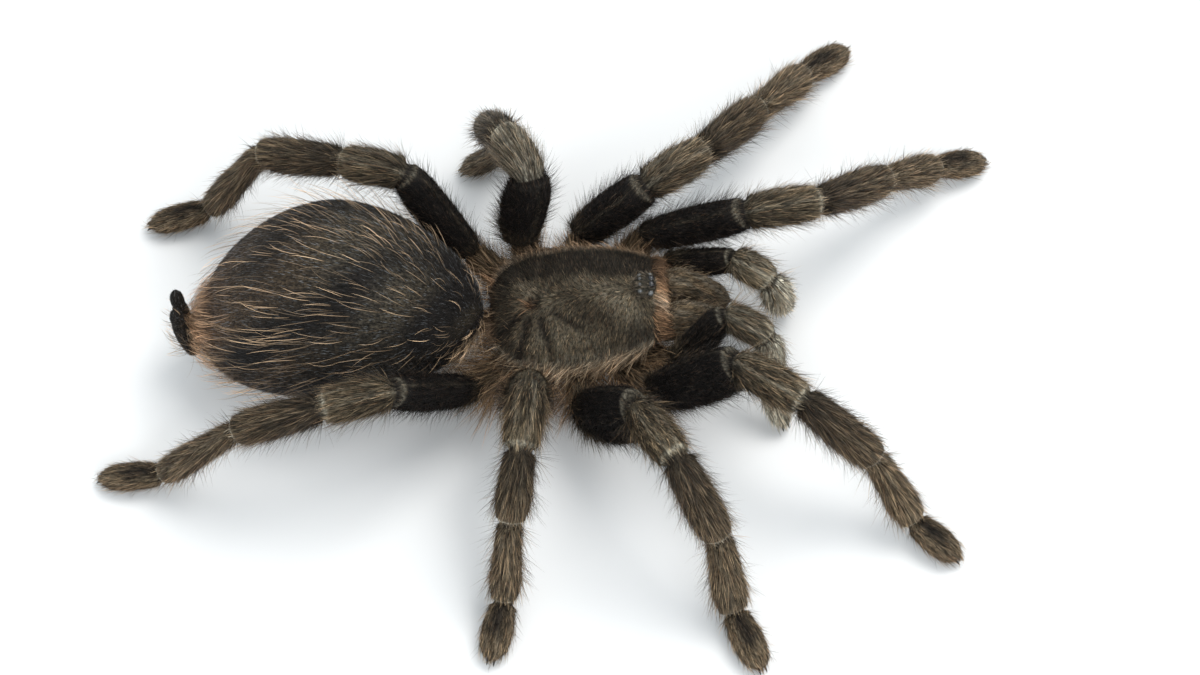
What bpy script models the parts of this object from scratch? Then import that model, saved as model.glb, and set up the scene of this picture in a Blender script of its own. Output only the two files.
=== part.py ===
"""Life-size tarantula, standing still with its legs spread.

The animal is parted where its own joints are: a carapace over a sternum, a pedicel and an
abdomen with two spinnerets, two chelicerae with fangs, two palps of four pieces and eight
legs of five, whose last piece is the metatarsus and tarsus together. Every piece is a
closed solid out to the tips of its short coat, and neighbours are parted by a thin cut.

Sizes below are in millimetres and angles in degrees. A place on the animal is given as
(forward, left, up): forward from the rear edge of the carapace, left from the mid line and
up from the floor. In the scene the head faces -Y, the animal's left is +X and up is +Z.
"""

import math

import bmesh
import bpy
from mathutils import Vector

MM = 0.001
CUT = 0.3                       # clear gap between two pieces that meet
RING_SIDES = 12                 # corners of a limb's cross-section

# ---------------------------------------------------------------- body sizes
CARAPACE_LENGTH = 22.0
CARAPACE_UNDERSIDE = 8.3        # height of the underside above the floor
CARAPACE_LIFT = 1.7             # rise of the underside towards the jaws
CARAPACE_LEVEL = 0.55           # part of the length where that rise starts
CARAPACE_RIM = 0.75             # thickness of the rim at the margin
# half width and crown height of the carapace at parts of its length, rear to front
CARAPACE_STATIONS = (
    (0.00, 4.2, 9.4),
    (0.07, 6.6, 10.3),
    (0.20, 8.4, 11.3),
    (0.38, 9.0, 12.3),
    (0.56, 8.9, 13.3),
    (0.72, 8.3, 13.9),
    (0.86, 7.2, 13.9),
    (0.95, 6.3, 13.2),
    (1.00, 5.5, 12.2),
)
FOVEA_PLACE = 5.8               # pit in the middle of the carapace
FOVEA_DEPTH = 0.7
FOVEA_RADIUS = 1.6

STERNUM_CENTRE = (9.7, 0.0, 5.6)
STERNUM_HALF_SIZE = (6.4, 3.1, 2.3)

PEDICEL_RADIUS = 1.2
PEDICEL_HEIGHT = 6.6
PEDICEL_SPAN = (2.9, -0.5)      # from the sternum's end to the abdomen's front

ABDOMEN_CENTRE = (-18.4, 13.9)  # forward and up
ABDOMEN_HALF_SIZE = (17.9, 13.0, 11.3)
ABDOMEN_CROWN = 13.0            # height of the back above the centre, with its long hair
ABDOMEN_FRONT_DROP = 4.2        # how far the front end hangs below the middle
ABDOMEN_REAR_DROP = 5.4
ABDOMEN_TAPER = 0.15            # narrowing of the abdomen towards the front

SPINNERET_ROOT = (-36.8, 1.35, 4.9)
# length, heading and rise of a spinneret's joints; both lean to the animal's left
SPINNERET_JOINTS = ((3.6, 180.0, 74.0), (2.7, 135.0, 76.0), (2.3, 110.0, 74.0))
SPINNERET_RADII = (1.15, 1.1, 1.0, 0.7)

TUBERCLE_CENTRE = (19.4, 0.0, 14.1)
TUBERCLE_HALF_SIZE = (1.35, 1.5, 1.15)
# places of the eyes of one side on the tubercle: bearing from ahead, height angle, radius
EYES = ((28.0, 48.0, 0.34), (62.0, 8.0, 0.32), (128.0, 26.0, 0.28), (148.0, 50.0, 0.22))

# centre (forward, left, up), half width and half height of a chelicera, root to front
CHELICERA_STATIONS = (
    (22.4, 2.40, 9.0, 2.15, 3.3),
    (24.2, 2.30, 9.1, 2.10, 3.7),
    (26.2, 2.00, 8.7, 1.80, 3.5),
    (28.0, 1.75, 8.0, 1.50, 3.0),
    (29.2, 1.60, 7.4, 1.20, 2.2),
    (29.8, 1.50, 7.0, 0.60, 1.0),
)
FANG_ROOT = (28.2, 1.9, 4.0)
FANG_LENGTH = 6.0
FANG_CURL = 50.0                # turn of the fang from its root to its point
FANG_RADII = (0.75, 0.62, 0.48, 0.28)

# ---------------------------------------------------------------- limb sizes
# solids of a leg and of a palp, and the limb pieces that each one holds
LEG_SOLIDS = {"coxa": ("coxa",), "femur": ("femur",), "patella": ("patella",), "tibia": ("tibia",),
              "foot": ("metatarsus", "tarsus")}
PALP_SOLIDS = {"coxa": ("coxa",), "femur": ("femur",), "shank": ("patella", "tibia"), "tarsus": ("tarsus",)}
# lengths of the coxa and of the pieces past it
PIECE_LENGTHS = {
    "leg_1": (9.6, 16.1, 9.6, 12.8, 10.6, 6.9),
    "leg_2": (8.9, 13.6, 10.6, 12.2, 10.9, 7.6),
    "leg_3": (8.1, 13.6, 8.1, 9.4, 10.9, 7.1),
    "leg_4": (9.3, 17.2, 8.8, 12.4, 14.8, 7.8),
    "palp": (7.8, 10.8, 6.3, 7.4, 6.0),
}
# half width across and half depth of each piece at its fullest
PIECE_HALF_WIDTHS = {
    "leg_1": ((2.0, 1.85), (2.50, 3.70), (2.45, 2.6), (2.35, 2.65), (2.2, 2.2), (2.15, 1.75)),
    "leg_2": ((2.0, 1.85), (2.75, 3.95), (2.5, 2.65), (2.4, 2.7), (2.3, 2.3), (2.2, 1.8)),
    "leg_3": ((2.0, 1.85), (3.0, 3.2), (2.5, 2.6), (2.3, 2.45), (2.1, 2.1), (2.15, 1.75)),
    "leg_4": ((2.0, 1.85), (2.4, 2.9), (2.4, 2.5), (2.3, 2.5), (1.95, 2.0), (2.05, 1.7)),
    "palp": ((1.6, 1.7), (1.75, 2.2), (2.2, 2.3), (2.15, 2.2), (1.8, 1.65)),
}
# fullness of a piece at parts of its length
PIECE_PROFILES = {
    "coxa": ((0.0, 0.66), (0.45, 0.94), (1.0, 0.92)),
    "femur": ((0.0, 0.74), (0.22, 0.90), (0.50, 1.0), (0.80, 0.95), (1.0, 0.84)),
    "patella": ((0.0, 0.88), (0.35, 1.0), (0.75, 0.98), (1.0, 0.88)),
    "tibia": ((0.0, 0.88), (0.30, 0.99), (0.70, 1.0), (1.0, 0.88)),
    "metatarsus": ((0.0, 0.86), (0.35, 0.94), (0.80, 1.0), (1.0, 0.92)),
    "tarsus": ((0.0, 0.88), (0.30, 1.0), (0.72, 1.0), (0.88, 0.82), (0.98, 0.52), (1.03, 0.18)),
}
TIP_PARTS = (0.88, 0.98, 1.03)  # where a tarsus rounds off, as parts of its length
FEMUR_BELLY = 0.35              # sag of a femur's mid line towards its underside
FOOT_CENTRE_HEIGHT = 1.35       # height of a tarsus's tip above the floor
SOLE_PRESS = 0.8                # what is lower than this on a limb is pressed flat onto the floor
KNEE_RADIUS = 2.6               # bend radius of a limb's mid line at its joints
# where a limb leaves the side of the sternum
LIMB_ROOTS = {
    "leg_1": (13.8, 3.9, 5.4),
    "leg_2": (10.9, 4.5, 5.4),
    "leg_3": (7.9, 4.5, 5.4),
    "leg_4": (4.9, 3.9, 5.4),
    "palp": (16.6, 2.3, 5.2),
}

# ---------------------------------------------------------------- the stance
# heading (0 ahead, positive to the animal's left) and rise of each piece of a limb; the last
# piece has a heading alone, because its rise brings the tip down to the floor
POSE = {
    ("left", "leg_1"): ((50, 10), (-14, 38), (12, -8), (36, -29), (36, -35), 16),
    ("left", "leg_2"): ((86, -7), (3, 51), (42, -18), (48, -19), (50, -24), 39),
    ("left", "leg_3"): ((120, 13), (15, 80), (116, -3), (112, -52), (45, -66), -160),
    ("left", "leg_4"): ((140, 11), (160, 63), (157, -14), (156, -23), (-178, -59), -172),
    ("right", "leg_1"): ((-49, 7), (-17, 50), (-38, 6), (-23, -43), (-44, -51), -41),
    ("right", "leg_2"): ((-88, 8), (-41, 50), (-65, 25), (-52, -50), (-74, -59), -66),
    ("right", "leg_3"): ((-117, 12), (-85, 68), (-99, -4), (-105, -48), (-101, -54), -105),
    ("right", "leg_4"): ((-141, 9), (-144, 48), (-168, 1), (177, -29), (179, -48), 176),
    ("left", "palp"): ((42, 13), (-22, 33), (-42, 8), (60, -78), 66),
    ("right", "palp"): ((-41, 13), (20, 50), (-25, -20), (-90, -65), -58),
}

# ---------------------------------------------------------------- colours (linear)
FINISHES = {
    "carapace": ((0.080, 0.065, 0.045), 0.85),
    "body": ((0.040, 0.030, 0.022), 0.90),
    "abdomen": ((0.055, 0.045, 0.036), 0.80),
    "thigh": ((0.012, 0.011, 0.010), 0.85),
    "shank": ((0.085, 0.068, 0.048), 0.85),
    "foot": ((0.090, 0.070, 0.050), 0.85),
    "jaw": ((0.060, 0.045, 0.035), 0.75),
    "fang": ((0.010, 0.007, 0.006), 0.25),
    "eyes": ((0.010, 0.011, 0.014), 0.20),
}

SOLID_FINISHES = {"coxa": "body", "femur": "thigh", "patella": "shank", "tibia": "shank",
                  "shank": "shank", "foot": "foot", "tarsus": "foot"}


# ---------------------------------------------------------------- helpers
def at(forward, left, up):
    """Scene point of a place on the animal."""
    return Vector((left, -forward, up)) * MM


def aim(heading, rise):
    """Unit direction for a heading and a rise in degrees."""
    turn, lift = math.radians(heading), math.radians(rise)
    return Vector((math.sin(turn) * math.cos(lift), -math.cos(turn) * math.cos(lift), math.sin(lift)))


def material(finish):
    """Principled material of a finish, made once."""
    found = bpy.data.materials.get(finish)
    if found:
        return found
    colour, roughness = FINISHES[finish]
    made = bpy.data.materials.new(finish)
    made.use_nodes = True
    shader = made.node_tree.nodes["Principled BSDF"]
    shader.inputs["Base Color"].default_value = (*colour, 1.0)
    shader.inputs["Roughness"].default_value = roughness
    shader.inputs["Metallic"].default_value = 0.0
    made.diffuse_color = (*colour, 1.0)
    return made


def collection(name):
    """Collection of this name, linked to the scene."""
    made = bpy.data.collections.new(name)
    bpy.context.scene.collection.children.link(made)
    return made


def add_object(name, bm, finish):
    """Object in the animal's collection from a finished bmesh."""
    bm.normal_update()
    bmesh.ops.recalc_face_normals(bm, faces=bm.faces)
    mesh = bpy.data.meshes.new(name)
    bm.to_mesh(mesh)
    bm.free()
    mesh.shade_smooth()
    mesh.set_sharp_from_angle(angle=math.radians(50))
    mesh.materials.append(material(finish))
    made = bpy.data.objects.new(name, mesh)
    ANIMAL.objects.link(made)
    return made


def loft(name, rings, finish):
    """Closed body through rings of the same number of corners, with a flat cap at each end."""
    bm = bmesh.new()
    rows = [[bm.verts.new(point) for point in ring] for ring in rings]
    for near, far in zip(rows, rows[1:]):
        for i in range(len(near)):
            j = (i + 1) % len(near)
            bm.faces.new((near[i], near[j], far[j], far[i]))
    bm.faces.new(rows[0])
    bm.faces.new(rows[-1])
    return add_object(name, bm, finish)


def oval(centre, across, deep, half_width, half_depth, sides=RING_SIDES):
    """Corners of an oval ring, in metres, from half sizes in millimetres."""
    ring = []
    for i in range(sides):
        angle = math.tau * i / sides
        ring.append(centre + across * (half_width * MM * math.cos(angle))
                    + deep * (half_depth * MM * math.sin(angle)))
    return ring


def blend(table, part):
    """Value at a part of a length, read in straight steps from (part, value) pairs."""
    for (low, first), (high, second) in zip(table, table[1:]):
        if part <= high:
            step = max(0.0, (part - low) / (high - low))
            return first + (second - first) * step
    return table[-1][1]


# ---------------------------------------------------------------- limbs
def limb_joints(side, kind):
    """Joint places of a limb from its root at the sternum to its tip on the floor."""
    mirror = 1.0 if side == "left" else -1.0
    forward, left, up = LIMB_ROOTS[kind]
    points = [at(forward, left * mirror, up)]
    for length, turn in zip(PIECE_LENGTHS[kind], POSE[side, kind]):
        if isinstance(turn, tuple):
            heading, rise = turn
        else:
            heading = turn
            drop = points[-1].z / MM - FOOT_CENTRE_HEIGHT
            rise = -math.degrees(math.asin(min(1.0, drop / length)))
        points.append(points[-1] + aim(heading, rise) * length * MM)
    return points


def limb_plane(points):
    """Level direction across a limb, square to the stretch from its knee to its ankle."""
    reach = points[4] - points[2]
    return Vector((reach.y, -reach.x, 0.0)).normalized()


def bend_middle(points, index):
    """Middle of the rounded bend at a joint, its direction, and the bend's reach along a piece."""
    before = (points[index] - points[index - 1]).normalized()
    after = (points[index + 1] - points[index]).normalized()
    reach = KNEE_RADIUS * MM * math.tan(before.angle(after) / 2)
    inward = (after - before) * (reach / 4)
    return points[index] + inward, (before + after).normalized(), reach


def mid_line(points, index):
    """Sections (place, direction, part of the length) of the limb piece that starts at a joint.

    The piece starts and ends half way round the bends of its two joints, so that the flat
    ends of two neighbours face each other across the cut.
    """
    start, end = points[index], points[index + 1]
    length = (end - start).length
    along = (end - start) / length
    sections = []
    low, high = 0.0, TIP_PARTS[0]
    if index > 0:
        place, heading, reach = bend_middle(points, index)
        sections.append((place + heading * (CUT / 2 * MM), heading, 0.0))
        low = reach / length
    else:
        sections.append((start, along, 0.0))
    last = index + 2 == len(points)
    if not last:
        place, heading, reach = bend_middle(points, index + 1)
        high = 1.0 - reach / length
    for part in (low + 0.05, (low + high) / 2, high - 0.05):
        sections.append((start.lerp(end, part), along, part))
    if last:
        sections += [(start.lerp(end, part), along, part) for part in TIP_PARTS]
    else:
        sections.append((place - heading * (CUT / 2 * MM), heading, 1.0))
    return sections


def limb_rings(points, index, profile, half_sizes, across):
    """Rings of one limb piece, with its underside pressed flat where it meets the floor."""
    rings = []
    for centre, heading, part in mid_line(points, index):
        level = (across - heading * across.dot(heading)).normalized()
        deep = heading.cross(level).normalized()
        full = blend(profile, part)
        if index == 1:
            centre = centre + deep * (FEMUR_BELLY * MM * math.sin(math.pi * part))
        ring = oval(centre, level, deep, half_sizes[0] * full, half_sizes[1] * full)
        for corner in ring:
            if corner.z < SOLE_PRESS * MM:
                corner.z = 0.0
        rings.append(ring)
    return rings


def make_limb(side, kind):
    """All the solids of one leg or palp."""
    points = limb_joints(side, kind)
    across = limb_plane(points)
    index = 0
    for solid, pieces in (PALP_SOLIDS if kind == "palp" else LEG_SOLIDS).items():
        rings = []
        for piece in pieces:
            rings += limb_rings(points, index, PIECE_PROFILES[piece],
                                PIECE_HALF_WIDTHS[kind][index], across)
            index += 1
        loft(f"{kind}_{side}_{solid}", rings, SOLID_FINISHES[solid])


# ---------------------------------------------------------------- body
def make_carapace():
    """Domed shell over the front of the body, flat below, with a pit for the fovea."""
    across = 7
    rings = []
    for part, half_width, crown in CARAPACE_STATIONS:
        forward = part * CARAPACE_LENGTH
        rise = max(0.0, (part - CARAPACE_LEVEL) / (1.0 - CARAPACE_LEVEL))
        underside = CARAPACE_UNDERSIDE + CARAPACE_LIFT * rise ** 1.5
        ring = []
        for i in range(2 * across + 1):
            u = i / across - 1.0
            dome = (1.0 - abs(u) ** 2.4) ** 0.75
            height = underside + CARAPACE_RIM
            height += (crown - height) * dome
            pit = math.hypot(forward - FOVEA_PLACE, u * half_width) / FOVEA_RADIUS
            height -= FOVEA_DEPTH * math.exp(-pit * pit)
            ring.append(at(forward, u * half_width, height))
        inner = half_width - 0.5
        for i in range(across):
            u = 1.0 - 2.0 * i / (across - 1)
            ring.append(at(forward, u * inner, underside))
        rings.append(ring)
    shell = loft("carapace", rings, "carapace")
    socket = make_tubercle("eye_socket", CUT, "carapace")
    ANIMAL.objects.unlink(socket)
    CUTTERS.objects.link(socket)
    socket.hide_render = True
    socket.display_type = "WIRE"
    hollow = shell.modifiers.new("eye_socket", "BOOLEAN")
    hollow.operation = "DIFFERENCE"
    hollow.object = socket
    return shell


def ball(name, centre, half_size, finish, around, rows):
    """Oval ball with half sizes given as (forward, left, up)."""
    bm = bmesh.new()
    bmesh.ops.create_uvsphere(bm, u_segments=around, v_segments=rows, radius=1.0)
    forward, left, up = half_size
    for vert in bm.verts:
        vert.co = at(centre[0] - vert.co.y * forward, centre[1] + vert.co.x * left, centre[2] + vert.co.z * up)
    return add_object(name, bm, finish)


def make_tubercle(name, grow, finish):
    """Eye mound, or its socket when it is grown by the cut."""
    half_size = [size + grow for size in TUBERCLE_HALF_SIZE]
    return ball(name, TUBERCLE_CENTRE, half_size, finish, 12, 8)


def make_eyes():
    """Eye mound with four eyes on each side joined to it."""
    mound = make_tubercle("eye_tubercle", 0.0, "eyes")
    forward, left, up = TUBERCLE_HALF_SIZE
    for mirror in (1, -1):
        for number, (bearing, height, radius) in enumerate(EYES, start=1):
            out = aim(bearing * mirror, height)
            centre = (TUBERCLE_CENTRE[0] - out.y * forward * 0.93,
                      TUBERCLE_CENTRE[1] + out.x * left * 0.93,
                      TUBERCLE_CENTRE[2] + out.z * up * 0.93)
            side = "left" if mirror > 0 else "right"
            eye = ball(f"eye_{number}_{side}", centre, (radius,) * 3, "eyes", 7, 5)
            ANIMAL.objects.unlink(eye)
            CUTTERS.objects.link(eye)
            eye.hide_render = True
            eye.display_type = "WIRE"
            join = mound.modifiers.new(eye.name, "BOOLEAN")
            join.operation = "UNION"
            join.object = eye
    return mound


def make_sternum():
    """Shield under the front of the body, between the coxae."""
    return ball("sternum", STERNUM_CENTRE, STERNUM_HALF_SIZE, "body", 14, 8)


def make_pedicel():
    """Short waist from the sternum to the abdomen."""
    rings = []
    for part, fullness in ((0.0, 1.0), (0.5, 0.86), (1.0, 1.0)):
        forward = PEDICEL_SPAN[0] + (PEDICEL_SPAN[1] - PEDICEL_SPAN[0]) * part
        radius = PEDICEL_RADIUS * fullness
        rings.append(oval(at(forward, 0.0, PEDICEL_HEIGHT), Vector((1, 0, 0)), Vector((0, 0, 1)),
                          radius, radius))
    return loft("pedicel", rings, "body")


def make_abdomen():
    """Egg-shaped abdomen whose front end hangs down to the pedicel."""
    bm = bmesh.new()
    bmesh.ops.create_uvsphere(bm, u_segments=22, v_segments=14, radius=1.0)
    long, wide, high = ABDOMEN_HALF_SIZE
    for vert in bm.verts:
        # the sphere's pole axis becomes the animal's long axis
        ahead, left, up = vert.co.z, vert.co.x, vert.co.y
        sag = ABDOMEN_FRONT_DROP if ahead > 0 else ABDOMEN_REAR_DROP
        girth = 1.0 - ABDOMEN_TAPER * max(0.0, ahead)
        vert.co = at(ABDOMEN_CENTRE[0] + ahead * long, left * wide * girth,
                     ABDOMEN_CENTRE[1] + up * (ABDOMEN_CROWN if up > 0 else high) - sag * ahead * ahead)
    return add_object("abdomen", bm, "abdomen")


def make_spinneret(side):
    """Three-jointed spinneret that curls up from the abdomen's rear end."""
    mirror = 1.0 if side == "left" else -1.0
    forward, left, up = SPINNERET_ROOT
    place = at(forward, left * mirror, up)
    across = Vector((1, 0, 0))
    rings = []
    for number, (length, turn, rise) in enumerate(SPINNERET_JOINTS):
        heading = aim(turn, rise)
        deep = heading.cross(across).normalized()
        level = deep.cross(heading)
        wide, narrow = SPINNERET_RADII[number], SPINNERET_RADII[number + 1]
        for part, radius in ((0.12, wide), (0.85, (wide + narrow * 2) / 3)):
            centre = place + heading * (length * part * MM)
            rings.append(oval(centre, level, deep, radius, radius, 10))
        place = place + heading * length * MM
    tip = SPINNERET_RADII[-1]
    rings.append(oval(place, level, deep, tip, tip, 10))
    return loft(f"spinneret_{side}", rings, "body")


def make_chelicera(side):
    """Stout jaw base that reaches forward from under the carapace."""
    mirror = 1.0 if side == "left" else -1.0
    rings = []
    for forward, left, up, half_width, half_height in CHELICERA_STATIONS:
        rings.append(oval(at(forward, left * mirror, up), Vector((1, 0, 0)), Vector((0, 0, 1)),
                          half_width, half_height))
    return loft(f"chelicera_{side}", rings, "jaw")


def make_fang(side):
    """Curved fang folded back under its chelicera."""
    mirror = 1.0 if side == "left" else -1.0
    forward, left, up = FANG_ROOT
    place = at(forward, left * mirror, up)
    level = Vector((1, 0, 0))
    rings = []
    steps = len(FANG_RADII) - 1
    for number, radius in enumerate(FANG_RADII):
        rise = -FANG_CURL / 2 + FANG_CURL * number / steps
        heading = aim(180.0, rise)
        rings.append(oval(place, level, heading.cross(level), radius, radius, 8))
        place = place + heading * (FANG_LENGTH / steps * MM)
    return loft(f"fang_{side}", rings, "fang")


# ---------------------------------------------------------------- the animal
def centre_on_floor():
    """Move every piece so that the middle of the animal's reach is over the origin."""
    bpy.context.view_layer.update()
    corners = [piece.matrix_world @ Vector(corner) for piece in ANIMAL.objects for corner in piece.bound_box]
    middle_x = (min(c.x for c in corners) + max(c.x for c in corners)) / 2
    middle_y = (min(c.y for c in corners) + max(c.y for c in corners)) / 2
    for piece in list(ANIMAL.objects) + list(CUTTERS.objects):
        piece.location = (-middle_x, -middle_y, 0.0)


for old in list(bpy.data.objects):
    bpy.data.objects.remove(old, do_unlink=True)
ANIMAL = collection("tarantula")
CUTTERS = collection("cutters")

make_carapace()
make_eyes()
make_sternum()
make_pedicel()
make_abdomen()
for body_side in ("left", "right"):
    make_spinneret(body_side)
    make_chelicera(body_side)
    make_fang(body_side)
    for limb in LIMB_ROOTS:
        make_limb(body_side, limb)
centre_on_floor()
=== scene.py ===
"""Visual model of a life-size tarantula that stands still with its legs spread.

One skin covers the limbs, jaws, waist, abdomen and spinnerets. The carapace, eye mound, eyes,
fangs and claws are pieces of their own. The coat is solid hair that Geometry Nodes plant on the
skin and on the carapace, and it takes its colours from the same marks as what it grows from.

Lengths are in millimetres and angles in degrees unless a name says otherwise. A place on the
animal is (forward, left, up): forward from the rear edge of the carapace, left from the mid
line and up from the floor. In the scene the head faces -Y, the animal's left is +X, up is +Z.
"""

import logging
import math
from collections.abc import Callable
from dataclasses import dataclass, field
from enum import Enum
from typing import Union

import bpy
import numpy as np
from mathutils import Matrix, Quaternion, Vector


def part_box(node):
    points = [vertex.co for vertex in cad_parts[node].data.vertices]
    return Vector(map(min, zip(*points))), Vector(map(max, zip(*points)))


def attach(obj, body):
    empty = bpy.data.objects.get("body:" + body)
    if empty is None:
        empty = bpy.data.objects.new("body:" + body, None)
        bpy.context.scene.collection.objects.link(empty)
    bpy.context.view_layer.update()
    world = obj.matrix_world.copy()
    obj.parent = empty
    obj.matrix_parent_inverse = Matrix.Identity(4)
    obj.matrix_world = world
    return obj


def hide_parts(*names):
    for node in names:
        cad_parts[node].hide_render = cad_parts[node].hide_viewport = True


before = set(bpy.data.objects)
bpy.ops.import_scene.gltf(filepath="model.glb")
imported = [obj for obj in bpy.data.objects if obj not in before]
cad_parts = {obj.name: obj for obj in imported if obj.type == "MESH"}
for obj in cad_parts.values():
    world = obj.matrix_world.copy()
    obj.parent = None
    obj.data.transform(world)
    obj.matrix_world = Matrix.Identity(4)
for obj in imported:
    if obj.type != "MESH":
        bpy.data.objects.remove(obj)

LOG = logging.getLogger("tarantula")

MM = 0.001
SEED = 41
SEED_STEP = 20                  # from one piece of the coat to the next
PATCH = 0.003                   # size of a hair's patch on its bake map
PLACE = tuple[float, float, float]
COLOUR = tuple[float, float, float]
ARRAY = np.ndarray
MARKS = dict[str, ARRAY]


# ---- names
class Side(Enum):
    """Side of the animal; the value ends the names of its solids."""

    LEFT = "left"
    RIGHT = "right"

    @property
    def sign(self) -> float:
        """Sign of the side's places along the left direction."""
        return 1.0 if self is Side.LEFT else -1.0


class Kind(Enum):
    """Kind of limb; the value starts the names of its solids."""

    LEG_1 = "leg_1"
    LEG_2 = "leg_2"
    LEG_3 = "leg_3"
    LEG_4 = "leg_4"
    PALP = "palp"


class Piece(Enum):
    """Piece of a limb, from the body outwards."""

    COXA = "coxa"
    FEMUR = "femur"
    PATELLA = "patella"
    TIBIA = "tibia"
    METATARSUS = "metatarsus"
    TARSUS = "tarsus"


class Mark(Enum):
    """What a point of the skin tells its finish and its coat; the value names the attribute."""

    DARK = "dark"        # share of the dark colour
    PALE = "pale"        # share of the pale colour
    RUST = "rust"        # share of the rusty colour
    NAP = "nap"          # length of the short hair
    REACH = "reach"      # length of the long hair
    COVER = "cover"      # density of the short hair
    GUARD = "guard"      # density of the standing hair
    TAN = "tan"          # density of the long hair that lies flat
    TUFT = "tuft"        # density of the long tufts between the limbs and round the shell
    BRIM = "brim"        # density of the fringe over the jaws
    TIP = "tip"          # share of the way from the root of a horn or lens to its tip

    @property
    def usual(self) -> float:
        """Value where nothing is said."""
        return 1.0 if self in (Mark.NAP, Mark.REACH, Mark.COVER) else 0.0


LEG_PIECES = tuple(Piece)
PALP_PIECES = (Piece.COXA, Piece.FEMUR, Piece.PATELLA, Piece.TIBIA, Piece.TARSUS)
TORSO_ZONE = 0
ABDOMEN_ZONE = 1
CARAPACE_ZONE = 2
FIRST_LIMB_ZONE = 3


# ---- node graphs
def operator(kind: str, swapped: bool = False) -> Callable[["Wire", "Value"], "Wire"]:
    """Method that adds a Math node of a kind, with its two values swapped if that is wanted."""
    def method(wire: "Wire", other: "Value") -> "Wire":
        """Result of the operation."""
        return wire.graph.math(kind, *((other, wire) if swapped else (wire, other)))
    return method


class Wire:
    """An output socket that adds a Math node for each operation made on it."""

    __add__, __radd__ = operator("ADD"), operator("ADD", swapped=True)
    __sub__, __rsub__ = operator("SUBTRACT"), operator("SUBTRACT", swapped=True)
    __mul__, __rmul__ = operator("MULTIPLY"), operator("MULTIPLY", swapped=True)
    __lt__, __gt__ = operator("LESS_THAN"), operator("GREATER_THAN")

    def __init__(self, graph: "Graph", socket: bpy.types.NodeSocket) -> None:
        """Wrap one output socket of a graph."""
        self.graph = graph
        self.socket = socket

    def __abs__(self) -> "Wire":
        """Size without its sign."""
        return self.graph.math("ABSOLUTE", self)


Value = Union[Wire, float, int, tuple, str]


class Graph:
    """Builds a shader or geometry node tree from Python expressions."""

    def __init__(self, tree: bpy.types.NodeTree) -> None:
        """Work on a node tree."""
        self.tree = tree

    def node(self, kind: str, settings: dict | None = None, sockets: dict | None = None) -> bpy.types.Node:
        """Add a node.

        Args:
            kind: the node's type name.
            settings: its properties, set before the sockets.
            sockets: values or wires for its inputs, by name or by place.

        Returns:
            The new node.
        """
        made = self.tree.nodes.new(kind)
        for name, value in (settings or {}).items():
            setattr(made, name, value)
        for name, value in (sockets or {}).items():
            self.feed(made.inputs[name], value)
        return made

    def feed(self, socket: bpy.types.NodeSocket, value: Value) -> None:
        """Link a wire to an input, or set its value."""
        if isinstance(value, Wire):
            self.tree.links.new(value.socket, socket)
        elif socket.type == "RGBA" and len(value) == 3:
            socket.default_value = (*value, 1.0)
        else:
            socket.default_value = value

    def out(self, node: bpy.types.Node, name: Union[str, int] = 0) -> Wire:
        """Wire from a node's output."""
        return Wire(self, node.outputs[name])

    def math(self, operation: str, *values: Value) -> Wire:
        """Wire from a Math node on one or two values."""
        return self.out(self.node("ShaderNodeMath", {"operation": operation}, dict(enumerate(values))))

    def vector(self, operation: str, sockets: dict) -> Wire:
        """Wire from a Vector Math node."""
        return self.out(self.node("ShaderNodeVectorMath", {"operation": operation}, sockets))

    def mix(self, share: Value, first: Value, second: Value, blend: str = "MIX") -> Wire:
        """Wire from a colour Mix node.

        Args:
            share: how much of the second colour shows.
            first: colour where the share is 0.
            second: colour where the share is 1.
            blend: how the two are mixed.

        Returns:
            The mixed colour.
        """
        settings = {"data_type": "RGBA", "blend_type": blend, "clamp_factor": True}
        return self.out(self.node("ShaderNodeMix", settings, {0: share, 6: first, 7: second}), 2)

    def smooth(self, value: Value, low: float, high: float) -> Wire:
        """Zero below low, one above high and smooth between."""
        settings = {"interpolation_type": "SMOOTHSTEP"}
        return self.out(self.node("ShaderNodeMapRange", settings, {0: value, 1: low, 2: high}))

    def noise(self, vector: Value, scale: float, detail: float = 2.0) -> Wire:
        """Noise from 0 to 1 at a vector."""
        sockets = {"Vector": vector, "Scale": scale, "Detail": detail}
        return self.out(self.node("ShaderNodeTexNoise", {}, sockets))

    def bump(self, height: Value, strength: float, distance: float) -> Wire:
        """Normal of a surface with fine bumps as high as distance, in millimetres."""
        sockets = {"Strength": strength, "Distance": distance * MM, "Height": height}
        return self.out(self.node("ShaderNodeBump", {}, sockets))

    def mark(self, name: str, output: str = "Fac") -> Wire:
        """Wire of one of the surface's own attributes in a shader."""
        return self.out(self.node("ShaderNodeAttribute", {"attribute_name": name}), output)


def new_material(name: str) -> tuple[bpy.types.Material, Graph, bpy.types.Node]:
    """Make a material with a Principled shader.

    Args:
        name: the material's name.

    Returns:
        The material, its graph and its shader node.
    """
    made = bpy.data.materials.new(name)
    made.use_nodes = True
    return made, Graph(made.node_tree), made.node_tree.nodes["Principled BSDF"]


# ---- finishes
OLIVE = (0.182, 0.145, 0.090)
UMBER = (0.0115, 0.0090, 0.0078)
SAND = (0.700, 0.665, 0.540)
RUST = (0.330, 0.175, 0.088)


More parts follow.
